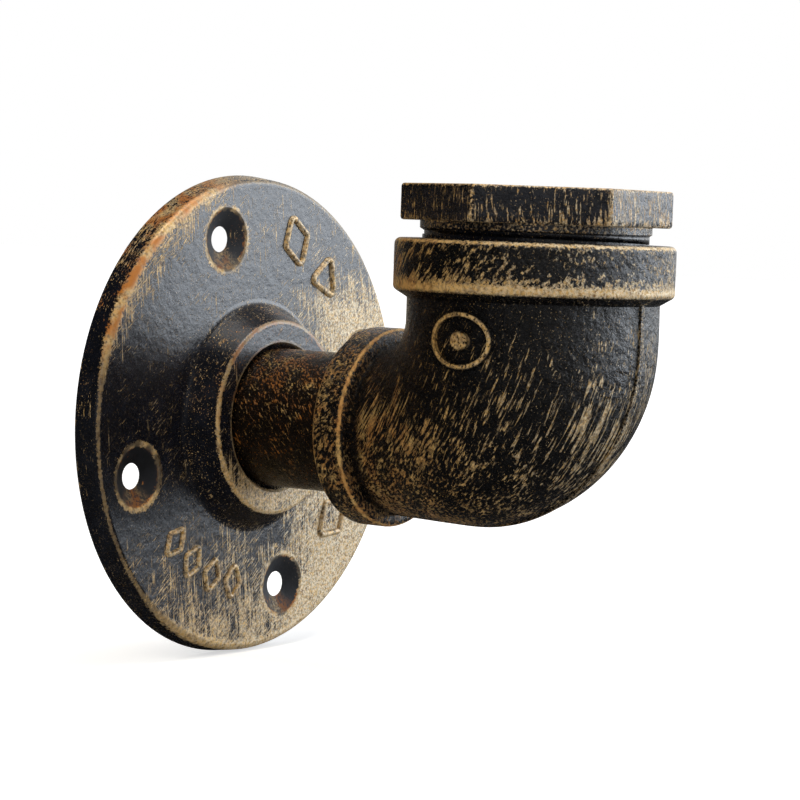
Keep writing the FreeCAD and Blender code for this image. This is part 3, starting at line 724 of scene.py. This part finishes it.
def flange_paint():
    material, shader, where = start_finish("antiqued_iron_flange")
    place, radius, out = where["Place"], where["Pipe radius"], where["Out"]
    x, z = where["Across"], where["Height"]
    ragged = noise(place, 1.8, 3.0, 0.6)
    to_hole = distance_to_hole(place)
    # The upper left is where warm light falls: gold and copper laid there by the mask below are painted warm
    # light.
    upper_left = minus(times(z, 0.70), times(x, 0.71))
    warm_lit_upper_left = ease(upper_left, 34.0, 44.0)
    at_bottom = ease(z, -30.0, -44.0)
    at_right = times(ease(x, 2.0, 30.0), ease(z, 34.0, 18.0))
    on_side = ease(radius, 45.8, 46.3)
    off_hub = ease(radius, 20.0, 22.5)
    hub_side = times(ease(radius, 22.6, 21.4), ease(out, 10.7, 10.3))
    in_sink = ease(to_hole, 6.4, 6.0)
    # Edges: the lips of the screw holes, their up-facing floors as painted light, the rim, and the two edges
    # of the hub.
    lip = edge_mask(to_hole, out, SINK_EDGE, 0.75, ragged)
    lip = times(lip, ease(noise(place, 0.22), 0.42, 0.60, 0.15, 0.9))
    # Painted light: gold on the part of each countersink that faces up into the light from above.
    lit_sink_floor = times(ease(to_hole, 6.1, 5.7), ease(where["Facing up"], 0.25, 0.6))
    # Rim gold is real wear; it is broader at the bottom, and broader on the upper left as painted warm light.
    rim_reach = plus(0.45, warm_lit_upper_left, times(at_bottom, 1.2))
    rim_share = most(0.3, most(warm_lit_upper_left, at_bottom))
    rim = times(edge_mask(radius, out, RIM_EDGE, rim_reach, ragged), rim_share)
    hub = times(edge_mask(radius, out, HUB_EDGE, 0.55, ragged), ease(z, 14.0, -8.0, 0.45, 1.0))
    mouth = times(edge_mask(radius, out, MOUTH_EDGE, 0.4, ragged), 0.25)
    # How much of each face the brush covered: the plate, the hub, and the plate's outer side. On the hub's
    # top, some of it is painted light.
    face_cover = plus(ease(x, -34.0, 0.0, 0.02, 0.16), times(at_right, 0.62),
                      ease(z, -14.0, -44.0, 0.0, 0.46),
                      times(times(warm_lit_upper_left, 0.52), ease(radius, 33.0, 41.0)))
    # Painted light: the hub gets more gold where it faces up, into the light from above.
    hub_cover_and_lit_top = plus(ease(where["Facing up"], -0.1, 0.9, 0.02, 0.20),
                     times(ease(z, -4.0, -13.0, 0.0, 0.70), ease(out, 10.2, 10.8)))
    side_cover = ease(z, 12.0, 44.0, 0.06, 0.60)
    cover = part_way(on_side, part_way(off_hub, hub_cover_and_lit_top, face_cover), side_cover)
    cover = times(cover, rest_of(in_sink))
    upright = strokes(place, UPRIGHT_LEAN, 0.20, 2.6, cover, 0.6)
    slanted = strokes(place, SLANTED_LEAN, 0.13, 1.1, plus(times(cover, 0.8), 0.05), 0.5)
    gold = most(upright, slanted, rim, hub, mouth, lip, times(lit_sink_floor, ease(ragged, 0.40, 0.56, 0.1, 0.8)))
    # Nothing reached the side that lies against the wall.
    off_wall = ease(where["Facing wall"], 0.6, 0.2)
    gold = times(gold, off_wall)
    # Painted shade: fewer specks towards the shaded left side.
    specks = times(times(off_wall, rest_of(in_sink)), ease(x, -46.0, -20.0, 0.3, 1.0))
    # Copper tint: painted warm light on the upper-left rim and the hub's top, and the tint of the painted lit
    # floors in the screw holes.
    copper = plus(times(warm_lit_upper_left, ease(radius, 44.0, 45.6, 0.0, 0.95)), ease(to_hole, 6.0, 5.6),
                  times(ease(radius, 22.0, 20.0), ease(z, -4.0, 6.0, 0.0, 0.7)))
    # Painted highlight: the gold turns pale towards the right side, where the cool key light falls.
    pale = ease(x, -25.0, 22.0, 0.40, 1.0)
    finish_antique(shader, place, BLUE_BLACK_PAINT, gold, relief=0.08 * MM,
                   sheen=ease(hub_side, 0.0, 1.0, 0.80, 0.22),
                   Pale=pale, Copper=copper, Dull=in_sink, Specks=specks)
    return material


dress("wall_flange", flange_paint())

# %% [markdown]
# The short pipe is rougher and browner than the castings: copper-coloured patches, denser on top as
# painted light from above, and nearly bare black below.


# %% Pipe paint
PATCH_LEAN = (math.radians(60), 0.0, 0.0)
SCRATCH_LEAN = (math.radians(35), 0.0, 0.0)


def pipe_paint():
    material, shader, where = start_finish("antiqued_pipe")
    place = where["Place"]
    # Painted light: the gold cover rises towards the top, where light falls from above.
    cover = ease(where["Height"], -12.0, 12.0, 0.07, 0.37)
    patches = strokes(place, PATCH_LEAN, 0.85, 1.6, times(cover, 0.62), 0.9)
    scratches = strokes(place, SCRATCH_LEAN, 0.20, 1.0, cover, 0.6)
    gold = most(times(patches, 0.5), scratches)
    finish_antique(shader, place, BROWN_BLACK_PAINT, gold, relief=0.36 * MM, sheen=0.4, Pale=0.1, Copper=0.9)
    return material


dress("pipe_nipple", pipe_paint())

# %% [markdown]
# The elbow carries most of the brushing. Its outlet collar has a solid gold line on the lower edge
# with short strokes rising from it. The inlet collar is mottled all over. On the body, steep strokes
# lean to the right: thick low on the wall side, thin in the middle, and hardly any below the collar.
# The oval mark and the parting line stand proud, so the brush caught them too.

# %% Elbow paint
COLLAR_LOW_EDGE = (25.7, 27.7)
COLLAR_HIGH_EDGE = (25.6, 36.0)
INLET_NEAR_EDGE = (18.7, 33.3)
INLET_FAR_EDGE = (18.7, 39.5)
MARK_HEIGHT = 18.4
MARK_HALF_OUT = 6.7
MARK_HALF_HIGH = 5.3
COLLAR_LEAN = (math.radians(-36), math.radians(20), 0.0)
BEND_OUT = 41.5
BEND_HEIGHT = 24.6
BEND_RADIUS = 27.0
DRIFT_SLOWING = 0.45


def oval_gold(where, ragged):
    """Gold on the raised oval ring and its dot, on the left side alone."""
    off_out = over(minus(where["Out"], -OUTLET.y), MARK_HALF_OUT)
    off_high = over(minus(where["Height"], MARK_HEIGHT), MARK_HALF_HIGH)
    from_middle = length_of(vector(off_out, off_high))
    ring = times(ease(from_middle, 0.80, 0.85), ease(from_middle, 0.97, 0.91))
    dot = ease(from_middle, 0.33, 0.22)
    left = ease(where["Across"], -10.0, -12.0)
    rubbed = ease(ragged, 0.36, 0.50)
    return times(times(most(ring, dot), left), rubbed)


def along_the_bend(where):
    """Place unrolled round the bend, so that its third value runs along the brush's sweep."""
    past = minus(where["Out"], BEND_OUT)
    below = minus(BEND_HEIGHT, where["Height"])
    angle = maths("ARCTAN2", past, below)
    drift = times(minus(angle, times(times(angle, angle), DRIFT_SLOWING)), BEND_RADIUS)
    return vector(where["Across"], plus(length_of(vector(past, below)), drift), times(angle, BEND_RADIUS))


def elbow_paint():
    material, shader, where = start_finish("antiqued_iron_elbow")
    place, out, z = where["Place"], where["Out"], where["Height"]
    ragged = noise(place, 2.0, 3.0, 0.6)
    edges = [edge_mask(where["Outlet radius"], z, COLLAR_LOW_EDGE, 0.95, ragged),
             edge_mask(where["Outlet radius"], z, COLLAR_HIGH_EDGE, 0.65, ragged),
             edge_mask(where["Pipe radius"], out, INLET_NEAR_EDGE, 0.5, ragged),
             edge_mask(where["Pipe radius"], out, INLET_FAR_EDGE, 0.5, ragged)]
    on_collar = ease(z, 26.6, 27.1)
    on_inlet = ease(out, 40.3, 39.8)
    off_valley = ease(out, 41.2, 44.0)
    low = ease(z, 18.0, 2.0)
    wall_side = ease(out, 74.0, 48.0)
    far_side = ease(out, 74.0, 90.0)
    body_cover = plus(0.14, times(low, 0.20), times(far_side, 0.10), times(times(low, wall_side), 0.17))
    body_cover = times(body_cover, ease(z, 23.0, 19.0, 0.4, 1.0))
    collar_cover = plus(ease(out, 70.0, 52.0, 0.36, 0.50), ease(z, 30.8, 27.7, 0.0, 0.42))
    swept = strokes(along_the_bend(where), (0.0, 0.0, 0.0), 0.24, 2.1, body_cover, 0.6)
    swept = times(swept, minus(off_valley, on_collar))
    on_band = times(strokes(place, COLLAR_LEAN, 0.34, 2.1, collar_cover, 0.6), on_collar)
    dabbed = times(strokes(place, COLLAR_LEAN, 0.26, 0.6, 0.50, 0.75), on_inlet)
    parting = times(ease(maths("ABSOLUTE", where["Across"]), 0.7, 0.4), times(ease(ragged, 0.47, 0.58), 0.5))
    parting = times(parting, rest_of(most(on_collar, on_inlet)))
    gold = most(swept, on_band, dabbed, *edges, oval_gold(where, ragged), parting)
    # Painted highlight: the gold turns pale towards the far right side, where the key light falls strongly.
    pale = ease(out, 60.0, 92.0, 0.10, 0.9)
    finish_antique(shader, place, BLACK_PAINT, gold, relief=0.45 * MM, sheen=0.75,
                   Pale=pale, Copper=times(wall_side, 0.45))
    return material


dress("reducing_elbow", elbow_paint())

# %% [markdown]
# The bushing's faces are smoother than the castings and carry fine upright strokes. Its top edge is a
# thin bright line. That edge isn't round, so the mask comes from the attribute that was stored with
# the mesh, broken up by the same ragged noise.


# %% Bushing paint
FACE_LEAN = (0.0, math.radians(4), 0.0)
TOP_LEAN = (0.0, math.radians(70), 0.0)


def bushing_paint():
    material, shader, where = start_finish("antiqued_iron_bushing")
    place, out, z = where["Place"], where["Out"], where["Height"]
    ragged = noise(place, 2.0, 3.0, 0.6)
    worn = put(shader.id_data, "ShaderNodeAttribute", attribute_name="worn").outputs["Fac"]
    edges = times(ease(plus(worn, times(minus(ragged, 0.5), 2.4)), 0.60, 0.95), ease(worn, 0.05, 0.3))
    right_face = ease(out, 74.0, 88.0)
    cover = plus(0.24, times(right_face, 0.18), ease(z, HEX_BOTTOM + 2.2, HEX_BOTTOM, 0.0, 0.16))
    cover = times(ease(z, HEX_BOTTOM - 0.4, HEX_BOTTOM), cover)
    level_top = ease(where["Facing up"], 0.5, 0.8)
    marks = times(strokes(place, FACE_LEAN, 0.22, 1.3, cover), rest_of(level_top))
    across_top = times(strokes(place, TOP_LEAN, 0.24, 2.2, 0.16), level_top)
    crest = times(ease(where["Outlet radius"], THREAD_CREST - 0.45, THREAD_CREST - 0.1),
                  times(ease(z, HEX_BOTTOM, HEX_BOTTOM - 0.3), ease(ragged, 0.50, 0.62)))
    gold = most(marks, across_top, edges, times(crest, 0.5))
    # Painted highlight: the gold turns pale towards the lit right face.
    pale = ease(out, 55.0, 85.0, 0.2, 0.95)
    finish_antique(shader, place, BLUE_BLACK_PAINT, gold, relief=0.22 * MM, sheen=0.7,
                   Pale=pale, Copper=0.15)
    return material


bushing_finish = bushing_paint()
bushing.data.materials.append(bushing_finish)
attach(bushing, "bushing")
print("bushing nodes", len(bushing_finish.node_tree.nodes))

# %% Thread on the bushing's shank
THREAD_LENGTH = HEX_BOTTOM - THREAD_BOTTOM
THREAD_PLAIN_LOW = 1.1
THREAD_PLAIN_HIGH = 1.3
RIDGE_RADIUS = 0.95
ridge_length = THREAD_LENGTH - THREAD_PLAIN_LOW - THREAD_PLAIN_HIGH
thread = from_tree("hex_bushing_thread", spiral_tree, {
    "Turns": ridge_length / THREAD_PITCH, "Radius": (THREAD_CREST - RIDGE_RADIUS) * MM,
    "Height": ridge_length * MM, "Profile radius": RIDGE_RADIUS * MM, "Profile sides": 3,
    "Profile turn": 0.0, "Steps a turn": 72,
    "Middle": (OUTLET + Vector((0, 0, THREAD_BOTTOM + THREAD_PLAIN_LOW))) * MM, "Material": bushing_finish})
reach = max((v.co.xy - OUTLET.xy * MM).length for v in thread.data.vertices) / MM
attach(thread, "bushing")
print("thread reaches radius", round(reach, 2), "faces", len(thread.data.polygons))

# %% [markdown]
# The foundry's raised marks: plain lozenge and triangle outlines and a row of small lozenges, cast on
# the flange where such marks sit. Each outline is a polygon with rounded corners, drawn as a line of
# round section that is half sunk in the plate. The row is one such lozenge placed at equal steps round
# the flange.

# %% Trees for one outlined mark and for a row of them
LINE_SIDES = 12
CORNER_STEPS = 5


def draw_outline(tree, sides, half_width, half_height, corner, thickness):
    polygon = shape(tree, "CurvePrimitiveCircle", {"Resolution": sides, "Radius": 1.0}, mode="RADIUS")
    stretched = shape(tree, "Transform", {
        "Geometry": polygon, "Scale": vector(half_width, half_height, 1.0)})
    rounded = shape(tree, "FilletCurve", {
        "Curve": stretched, "Radius": corner, "Count": CORNER_STEPS}, mode="POLY")
    line = shape(tree, "CurvePrimitiveCircle", {"Resolution": LINE_SIDES, "Radius": thickness}, mode="RADIUS")
    return shape(tree, "CurveToMesh", {"Curve": rounded, "Profile Curve": line})


outline_tree, given, wanted = start_modifier_tree("Outlined mark", {
    "Sides": 4, "Half width": 0.005, "Half height": 0.005, "Line": 0.0006, "Corner": 0.0008,
    "Middle": "Vector", "Turn": 0.0, "Material": "Material"})
drawn = draw_outline(outline_tree, given["Sides"], given["Half width"], given["Half height"],
                     given["Corner"], given["Line"])
drawn = shape(outline_tree, "Transform", {
    "Geometry": drawn, "Translation": given["Middle"], "Rotation": vector(math.pi / 2, given["Turn"])})
drawn = shape(outline_tree, "SetShadeSmooth", {"Geometry": drawn})
close_tree(outline_tree, drawn, given["Material"], wanted)
print("tree", outline_tree.name, "nodes", len(outline_tree.nodes))

row_tree, given, wanted = start_modifier_tree("Row of marks", {
    "Count": 4, "Circle radius": 0.03, "First angle": 0.0, "Step angle": 0.2, "Half across": 0.002,
    "Half along": 0.003, "Line": 0.0006, "Corner": 0.0006, "Material": "Material"})
row = shape(row_tree, "MeshLine", {"Count": given["Count"]})
angle = plus(given["First angle"], times(shape(row_tree, "InputIndex"), given["Step angle"]))
place = vector(times(given["Circle radius"], maths("COSINE", angle)), -PLATE_FRONT * MM,
               times(given["Circle radius"], maths("SINE", angle)))
row = shape(row_tree, "SetPosition", {"Geometry": row, "Position": place})
lozenge = draw_outline(row_tree, 4, given["Half along"], given["Half across"], given["Corner"], given["Line"])
placed = shape(row_tree, "InstanceOnPoints", {
    "Points": row, "Instance": lozenge, "Rotation": vector(math.pi / 2, times(angle, -1.0))})
placed = shape(row_tree, "SetShadeSmooth", {"Geometry": placed})
close_tree(row_tree, placed, given["Material"], wanted)
print("tree", row_tree.name, "nodes", len(row_tree.nodes))


# %% Marks on the flange
def mark_paint():
    """The marks stand proud, so they are mostly gold, with paint showing through."""
    material, shader, where = start_finish("antiqued_iron_marks")
    place = where["Place"]
    gold = ease(noise(place, 1.3, 3.0, 0.6), 0.34, 0.56, 0.15, 0.95)
    finish_antique(shader, place, BLUE_BLACK_PAINT, gold, relief=0.12 * MM, Pale=0.75, Copper=0.1)
    return material


mark_finish = mark_paint()


def outlined(name, sides, half_width, half_height, x, z, turn):
    return from_tree(name, outline_tree, {
        "Sides": sides, "Half width": half_width * MM, "Half height": half_height * MM, "Line": 0.65 * MM,
        "Corner": 0.9 * MM, "Middle": Vector((x, -PLATE_FRONT, z)) * MM, "Turn": math.radians(turn),
        "Material": mark_finish})


raised_marks = [
    outlined("raised_lozenge_upper", 4, 5.3, 3.7, 11.4, 34.3, 72),
    outlined("raised_triangle", 3, 5.0, 4.6, 21.2, 27.0, 52),
    outlined("raised_lozenge_lower", 4, 5.6, 3.9, 26.2, -21.7, -39),
    from_tree("raised_lozenge_row", row_tree, {
        "Count": 4, "Circle radius": 32.8 * MM, "First angle": math.radians(-134.5),
        "Step angle": math.radians(11.7), "Half across": 2.3 * MM, "Half along": 3.5 * MM, "Line": 0.55 * MM,
        "Corner": 0.6 * MM, "Material": mark_finish}),
]
for mark in raised_marks:
    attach(mark, "wall_mount")
print("marks", [(mark.name, len(mark.data.polygons)) for mark in raised_marks])

# %% [markdown]
# Inside the bushing sits a porcelain lampholder with a sheet-metal shell. The shell's thread is rolled:
# the sheet itself waves in a spiral, so inside and outside follow the same rule one sheet apart. The
# same rings of points make it, with a radius that depends on height and angle together.

# %% Rolled lamp shell
SHELL_PITCH = 3.63
SHELL_MIDDLE = 13.03
SHELL_WAVE = 0.26
SHEET = 0.34
SHELL_TOP = 39.9
SHELL_FLOOR = 17.3
SHELL_STEPS = 88
SHELL_COLUMNS = 96
SHELL_HOLE = 8.0
SHELL_BASE = 13.1
SHELL_WALL_LOW = 22.0
WAVE_LOW = 22.4


def rolled(z, offset):
    """Rule for one height: a wave that climbs one pitch a turn and fades towards both ends."""
    fade = min(1.0, max(0.0, (z - WAVE_LOW) / 1.5), max(0.0, (SHELL_TOP - 0.3 - z) / 1.2))

    def radius(angle):
        wave = math.cos(2 * math.pi * z / SHELL_PITCH - math.radians(angle))
        return SHELL_MIDDLE + offset + (SHELL_WAVE * wave + 0.02) * fade + 0.2 * (1 - fade)
    return radius


shell_heights = [SHELL_WALL_LOW + (SHELL_TOP - SHELL_WALL_LOW) * step / SHELL_STEPS
                 for step in range(SHELL_STEPS + 1)]
shell_rings = [(SHELL_HOLE, SHELL_FLOOR), (SHELL_BASE, SHELL_FLOOR), (SHELL_BASE, SHELL_WALL_LOW - 1.1)]
shell_rings += [(rolled(z, SHEET), z) for z in shell_heights]
shell_rings += [(rolled(z, 0.0), z) for z in reversed(shell_heights)]
shell_rings += [(SHELL_BASE - 0.3, SHELL_WALL_LOW - 0.8), (SHELL_BASE - 0.3, SHELL_FLOOR + SHEET),
                (SHELL_HOLE, SHELL_FLOOR + SHEET)]
shell_columns = [360 / SHELL_COLUMNS * step for step in range(SHELL_COLUMNS)]
shell = skin_of_rings("screw_shell_rolled", shell_columns, shell_rings, 0.0)
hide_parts("screw_shell")
print("shell faces", len(shell.data.polygons))

# %% [markdown]
# The inner pieces are metal, porcelain, nylon and silicone. Two more groups cover them: turned or drawn
# metal with fine lines and a little tarnish, and moulded or glazed skin with faint clouds and dust. Each
# material places a group with its own numbers.


# %% Metal and moulded finishes
PLAIN_OUTPUTS = {"Color": "Color", "Roughness": "Float", "Height": "Float"}


def make_worked_metal():
    tree, given, wanted = start_group("Worked metal", {
        "Place": "Vector", "Metal": WHITE, "Tarnish": WHITE, "Tarnish share": 0.3, "Line size": 0.12,
        "Roughness": 0.3}, PLAIN_OUTPUTS)
    x, y, z = split(given["Place"])
    lines = noise(vector(times(x, 0.15), times(y, 0.15), over(z, given["Line size"])), 0.6, 2.0)
    share = times(ease(noise(given["Place"], 0.45, 3.0, 0.6), 0.46, 0.66), given["Tarnish share"])
    join(tree, wanted["Color"], between(share, given["Metal"], given["Tarnish"]))
    join(tree, wanted["Roughness"], plus(given["Roughness"], times(share, 0.35), times(lines, 0.10)))
    join(tree, wanted["Height"], lines)
    return tree


def make_moulded_skin():
    tree, given, wanted = start_group("Moulded skin", {
        "Place": "Vector", "Body": WHITE, "Dust": WHITE, "Dust share": 0.2, "Grain size": 0.5,
        "Roughness": 0.4}, PLAIN_OUTPUTS)
    cloud = noise(given["Place"], 0.25, 3.0, 0.6)
    grain = noise(given["Place"], over(1.0, given["Grain size"]), 3.0, 0.6)
    share = times(ease(cloud, 0.40, 0.70), given["Dust share"])
    join(tree, wanted["Color"], between(share, given["Body"], given["Dust"]))
    join(tree, wanted["Roughness"], plus(given["Roughness"], times(share, 0.3), times(grain, 0.06)))
    join(tree, wanted["Height"], grain)
    return tree


worked_metal = make_worked_metal()
moulded_skin = make_moulded_skin()


def metal(name, colour, tarnish, share, line_size, roughness):
    material, shader, where = start_finish(name)
    shader.inputs["Metallic"].default_value = 1.0
    join_finish(shader, use(shader.id_data, worked_metal, {
        "Place": where["Place"], "Metal": colour, "Tarnish": tarnish,
        "Tarnish share": share, "Line size": line_size, "Roughness": roughness}), 0.03 * MM, 0.5)
    return material


def moulded(name, colour, dust, share, grain_size, roughness, coat=0.0):
    material, shader, where = start_finish(name)
    shader.inputs["Coat Weight"].default_value = coat
    join_finish(shader, use(shader.id_data, moulded_skin, {
        "Place": where["Place"], "Body": colour, "Dust": dust, "Dust share": share,
        "Grain size": grain_size, "Roughness": roughness}), 0.05 * MM, 0.4)
    return material


print("groups", worked_metal.name, moulded_skin.name)

# %% One finish for each slot of the inner pieces
inner_finishes = {
    "gasket": moulded("gasket", (0.42, 0.07, 0.045, 1), (0.55, 0.30, 0.25, 1), 0.35, 0.5, 0.55),
    "porcelain": moulded("porcelain", (0.80, 0.78, 0.72, 1), (0.62, 0.58, 0.50, 1), 0.35, 2.0, 0.16, 0.4),
    "connector_nylon": moulded("connector_nylon", (0.72, 0.70, 0.63, 1), (0.55, 0.50, 0.40, 1),
                               0.30, 0.6, 0.42),
    "spring_steel": metal("spring_steel", (0.52, 0.52, 0.54, 1), (0.30, 0.29, 0.29, 1), 0.3, 0.10, 0.24),
    "zinc_steel": metal("zinc_steel", (0.66, 0.66, 0.64, 1), (0.48, 0.47, 0.44, 1), 0.5, 0.12, 0.34),
    "shell_brass": metal("shell_brass", (0.72, 0.66, 0.50, 1), (0.42, 0.36, 0.24, 1), 0.5, 0.20, 0.26),
    "contact_brass": metal("contact_brass", (0.80, 0.58, 0.26, 1), (0.46, 0.30, 0.12, 1), 0.4, 0.08, 0.24),
    "terminal_brass": metal("terminal_brass", (0.66, 0.48, 0.22, 1), (0.36, 0.25, 0.12, 1), 0.6, 0.14, 0.34),
    "tinned_copper": metal("tinned_copper", (0.74, 0.74, 0.72, 1), (0.55, 0.50, 0.44, 1), 0.3, 0.12, 0.32),
}
for subpart in frame["record"]["subparts"]:
    if subpart["material_slot"] in inner_finishes:
        dress(subpart["node"], inner_finishes[subpart["material_slot"]])
shell.data.materials.append(inner_finishes["shell_brass"])
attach(shell, "lampholder")
print("inner finishes", sorted(inner_finishes))

# %% [markdown]
# The spring under the centre contact uses the spiral tree with a round profile.

# %% Contact spring
SPRING_LOW = 12.1
SPRING_HIGH = 16.3
SPRING_WIRE_RADIUS = 0.25
SPRING_RADIUS = 2.2
SPRING_TURNS = 4.0
spring = from_tree("contact_spring_coil", spiral_tree, {
    "Turns": SPRING_TURNS, "Radius": SPRING_RADIUS * MM, "Height": (SPRING_HIGH - SPRING_LOW) * MM,
    "Profile radius": SPRING_WIRE_RADIUS * MM, "Profile sides": 12, "Profile turn": 0.0,
    "Steps a turn": 48,
    "Middle": (OUTLET + Vector((0, 0, SPRING_LOW))) * MM, "Material": inner_finishes["spring_steel"]})
spring.data.shade_smooth()
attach(spring, "lampholder")
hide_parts("contact_spring")
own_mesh(spring)
print("spring faces", len(spring.data.polygons))

# %% [markdown]
# Three silicone leads run from the connector in the pipe. Soft wire takes the smoothest line between its
# ends, so each is a NURBS curve of low order through the route's few points, with a round bevel. Two of
# them end in the lampholder. The earth lead stays with the elbow, and its yellow stripe follows its
# length as the real printing does.

# %% Insulation
LEAD_RADIUS = 1.1


def striped_insulation():
    material, shader, where = start_finish("green_insulation")
    place = where["Place"]
    _, y, z = split(place)
    stripe = ease(maths("SINE", plus(times(y, 0.9), times(z, 1.8))), 0.25, 0.40)
    colour = between(stripe, (0.06, 0.24, 0.05, 1), (0.72, 0.55, 0.05, 1))
    join_finish(shader, use(shader.id_data, moulded_skin, {
        "Place": place, "Body": colour, "Dust": (0.4, 0.4, 0.34, 1), "Dust share": 0.12, "Grain size": 0.3,
        "Roughness": 0.42}), 0.03 * MM, 0.3)
    return material


brown = moulded("brown_insulation", (0.16, 0.055, 0.025, 1), (0.30, 0.20, 0.14, 1), 0.15, 0.3, 0.42)
blue = moulded("blue_insulation", (0.03, 0.12, 0.40, 1), (0.22, 0.28, 0.42, 1), 0.15, 0.3, 0.42)
green = striped_insulation()
print("insulation", brown.name, blue.name, green.name)


# %% Leads
LEAD_START = 24.6
LEAD_STRAIGHT = 29.6
CHAMBER_LEVEL = -5.6
TERMINAL_LEVEL = 4.7
EARTH_LEVEL = -6.6


def lead(name, route, material):
    """Tube on a NURBS line through the route's points, given as x, distance out and z."""
    data = bpy.data.curves.new(name, "CURVE")
    data.dimensions = "3D"
    data.bevel_depth = LEAD_RADIUS * MM
    data.bevel_resolution = 5
    data.resolution_u = 10
    data.use_fill_caps = True
    line = data.splines.new("NURBS")
    line.points.add(len(route) - 1)
    for point, (x, out, z) in zip(line.points, route):
        point.co = (x * MM, -out * MM, z * MM, 1.0)
    line.order_u = 3
    line.use_endpoint_u = True
    carrier = new_object(name + "_carrier", data)
    bpy.context.view_layer.update()
    mesh = bpy.data.meshes.new_from_object(carrier.evaluated_get(bpy.context.evaluated_depsgraph_get()))
    bpy.data.objects.remove(carrier)
    mesh.materials.clear()
    mesh.materials.append(material)
    mesh.shade_smooth()
    return new_object(name, mesh)


def holder_route(x, bend_x, end_x):
    """From the connector down through the elbow's chamber and up into a terminal of the holder."""
    return [(x, LEAD_START, 0), (x, LEAD_STRAIGHT, 0), (bend_x, 50, CHAMBER_LEVEL),
            (end_x, 63.5, CHAMBER_LEVEL), (end_x, -OUTLET.y, -0.8), (end_x, -OUTLET.y, TERMINAL_LEVEL)]


live = lead("live_lead_soft", holder_route(0, 0, 0), brown)
neutral = lead("neutral_lead_soft", holder_route(6, 7.5, 10.25), blue)
earth = lead("earth_lead_soft", [(-6, LEAD_START, 0), (-6, LEAD_STRAIGHT, 0), (-6, 43, -4.9),
                                 (-6, 51.1, EARTH_LEVEL), (-6, 61.0, EARTH_LEVEL)], green)
for soft, node, slot in ((live, "live_lead", "brown_insulation"),
                         (neutral, "neutral_lead", "blue_insulation")):
    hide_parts(node)
    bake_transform(soft)
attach(earth, "elbow")
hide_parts("earth_lead")
print("leads", [(o.name, len(o.data.polygons)) for o in (live, neutral, earth)])
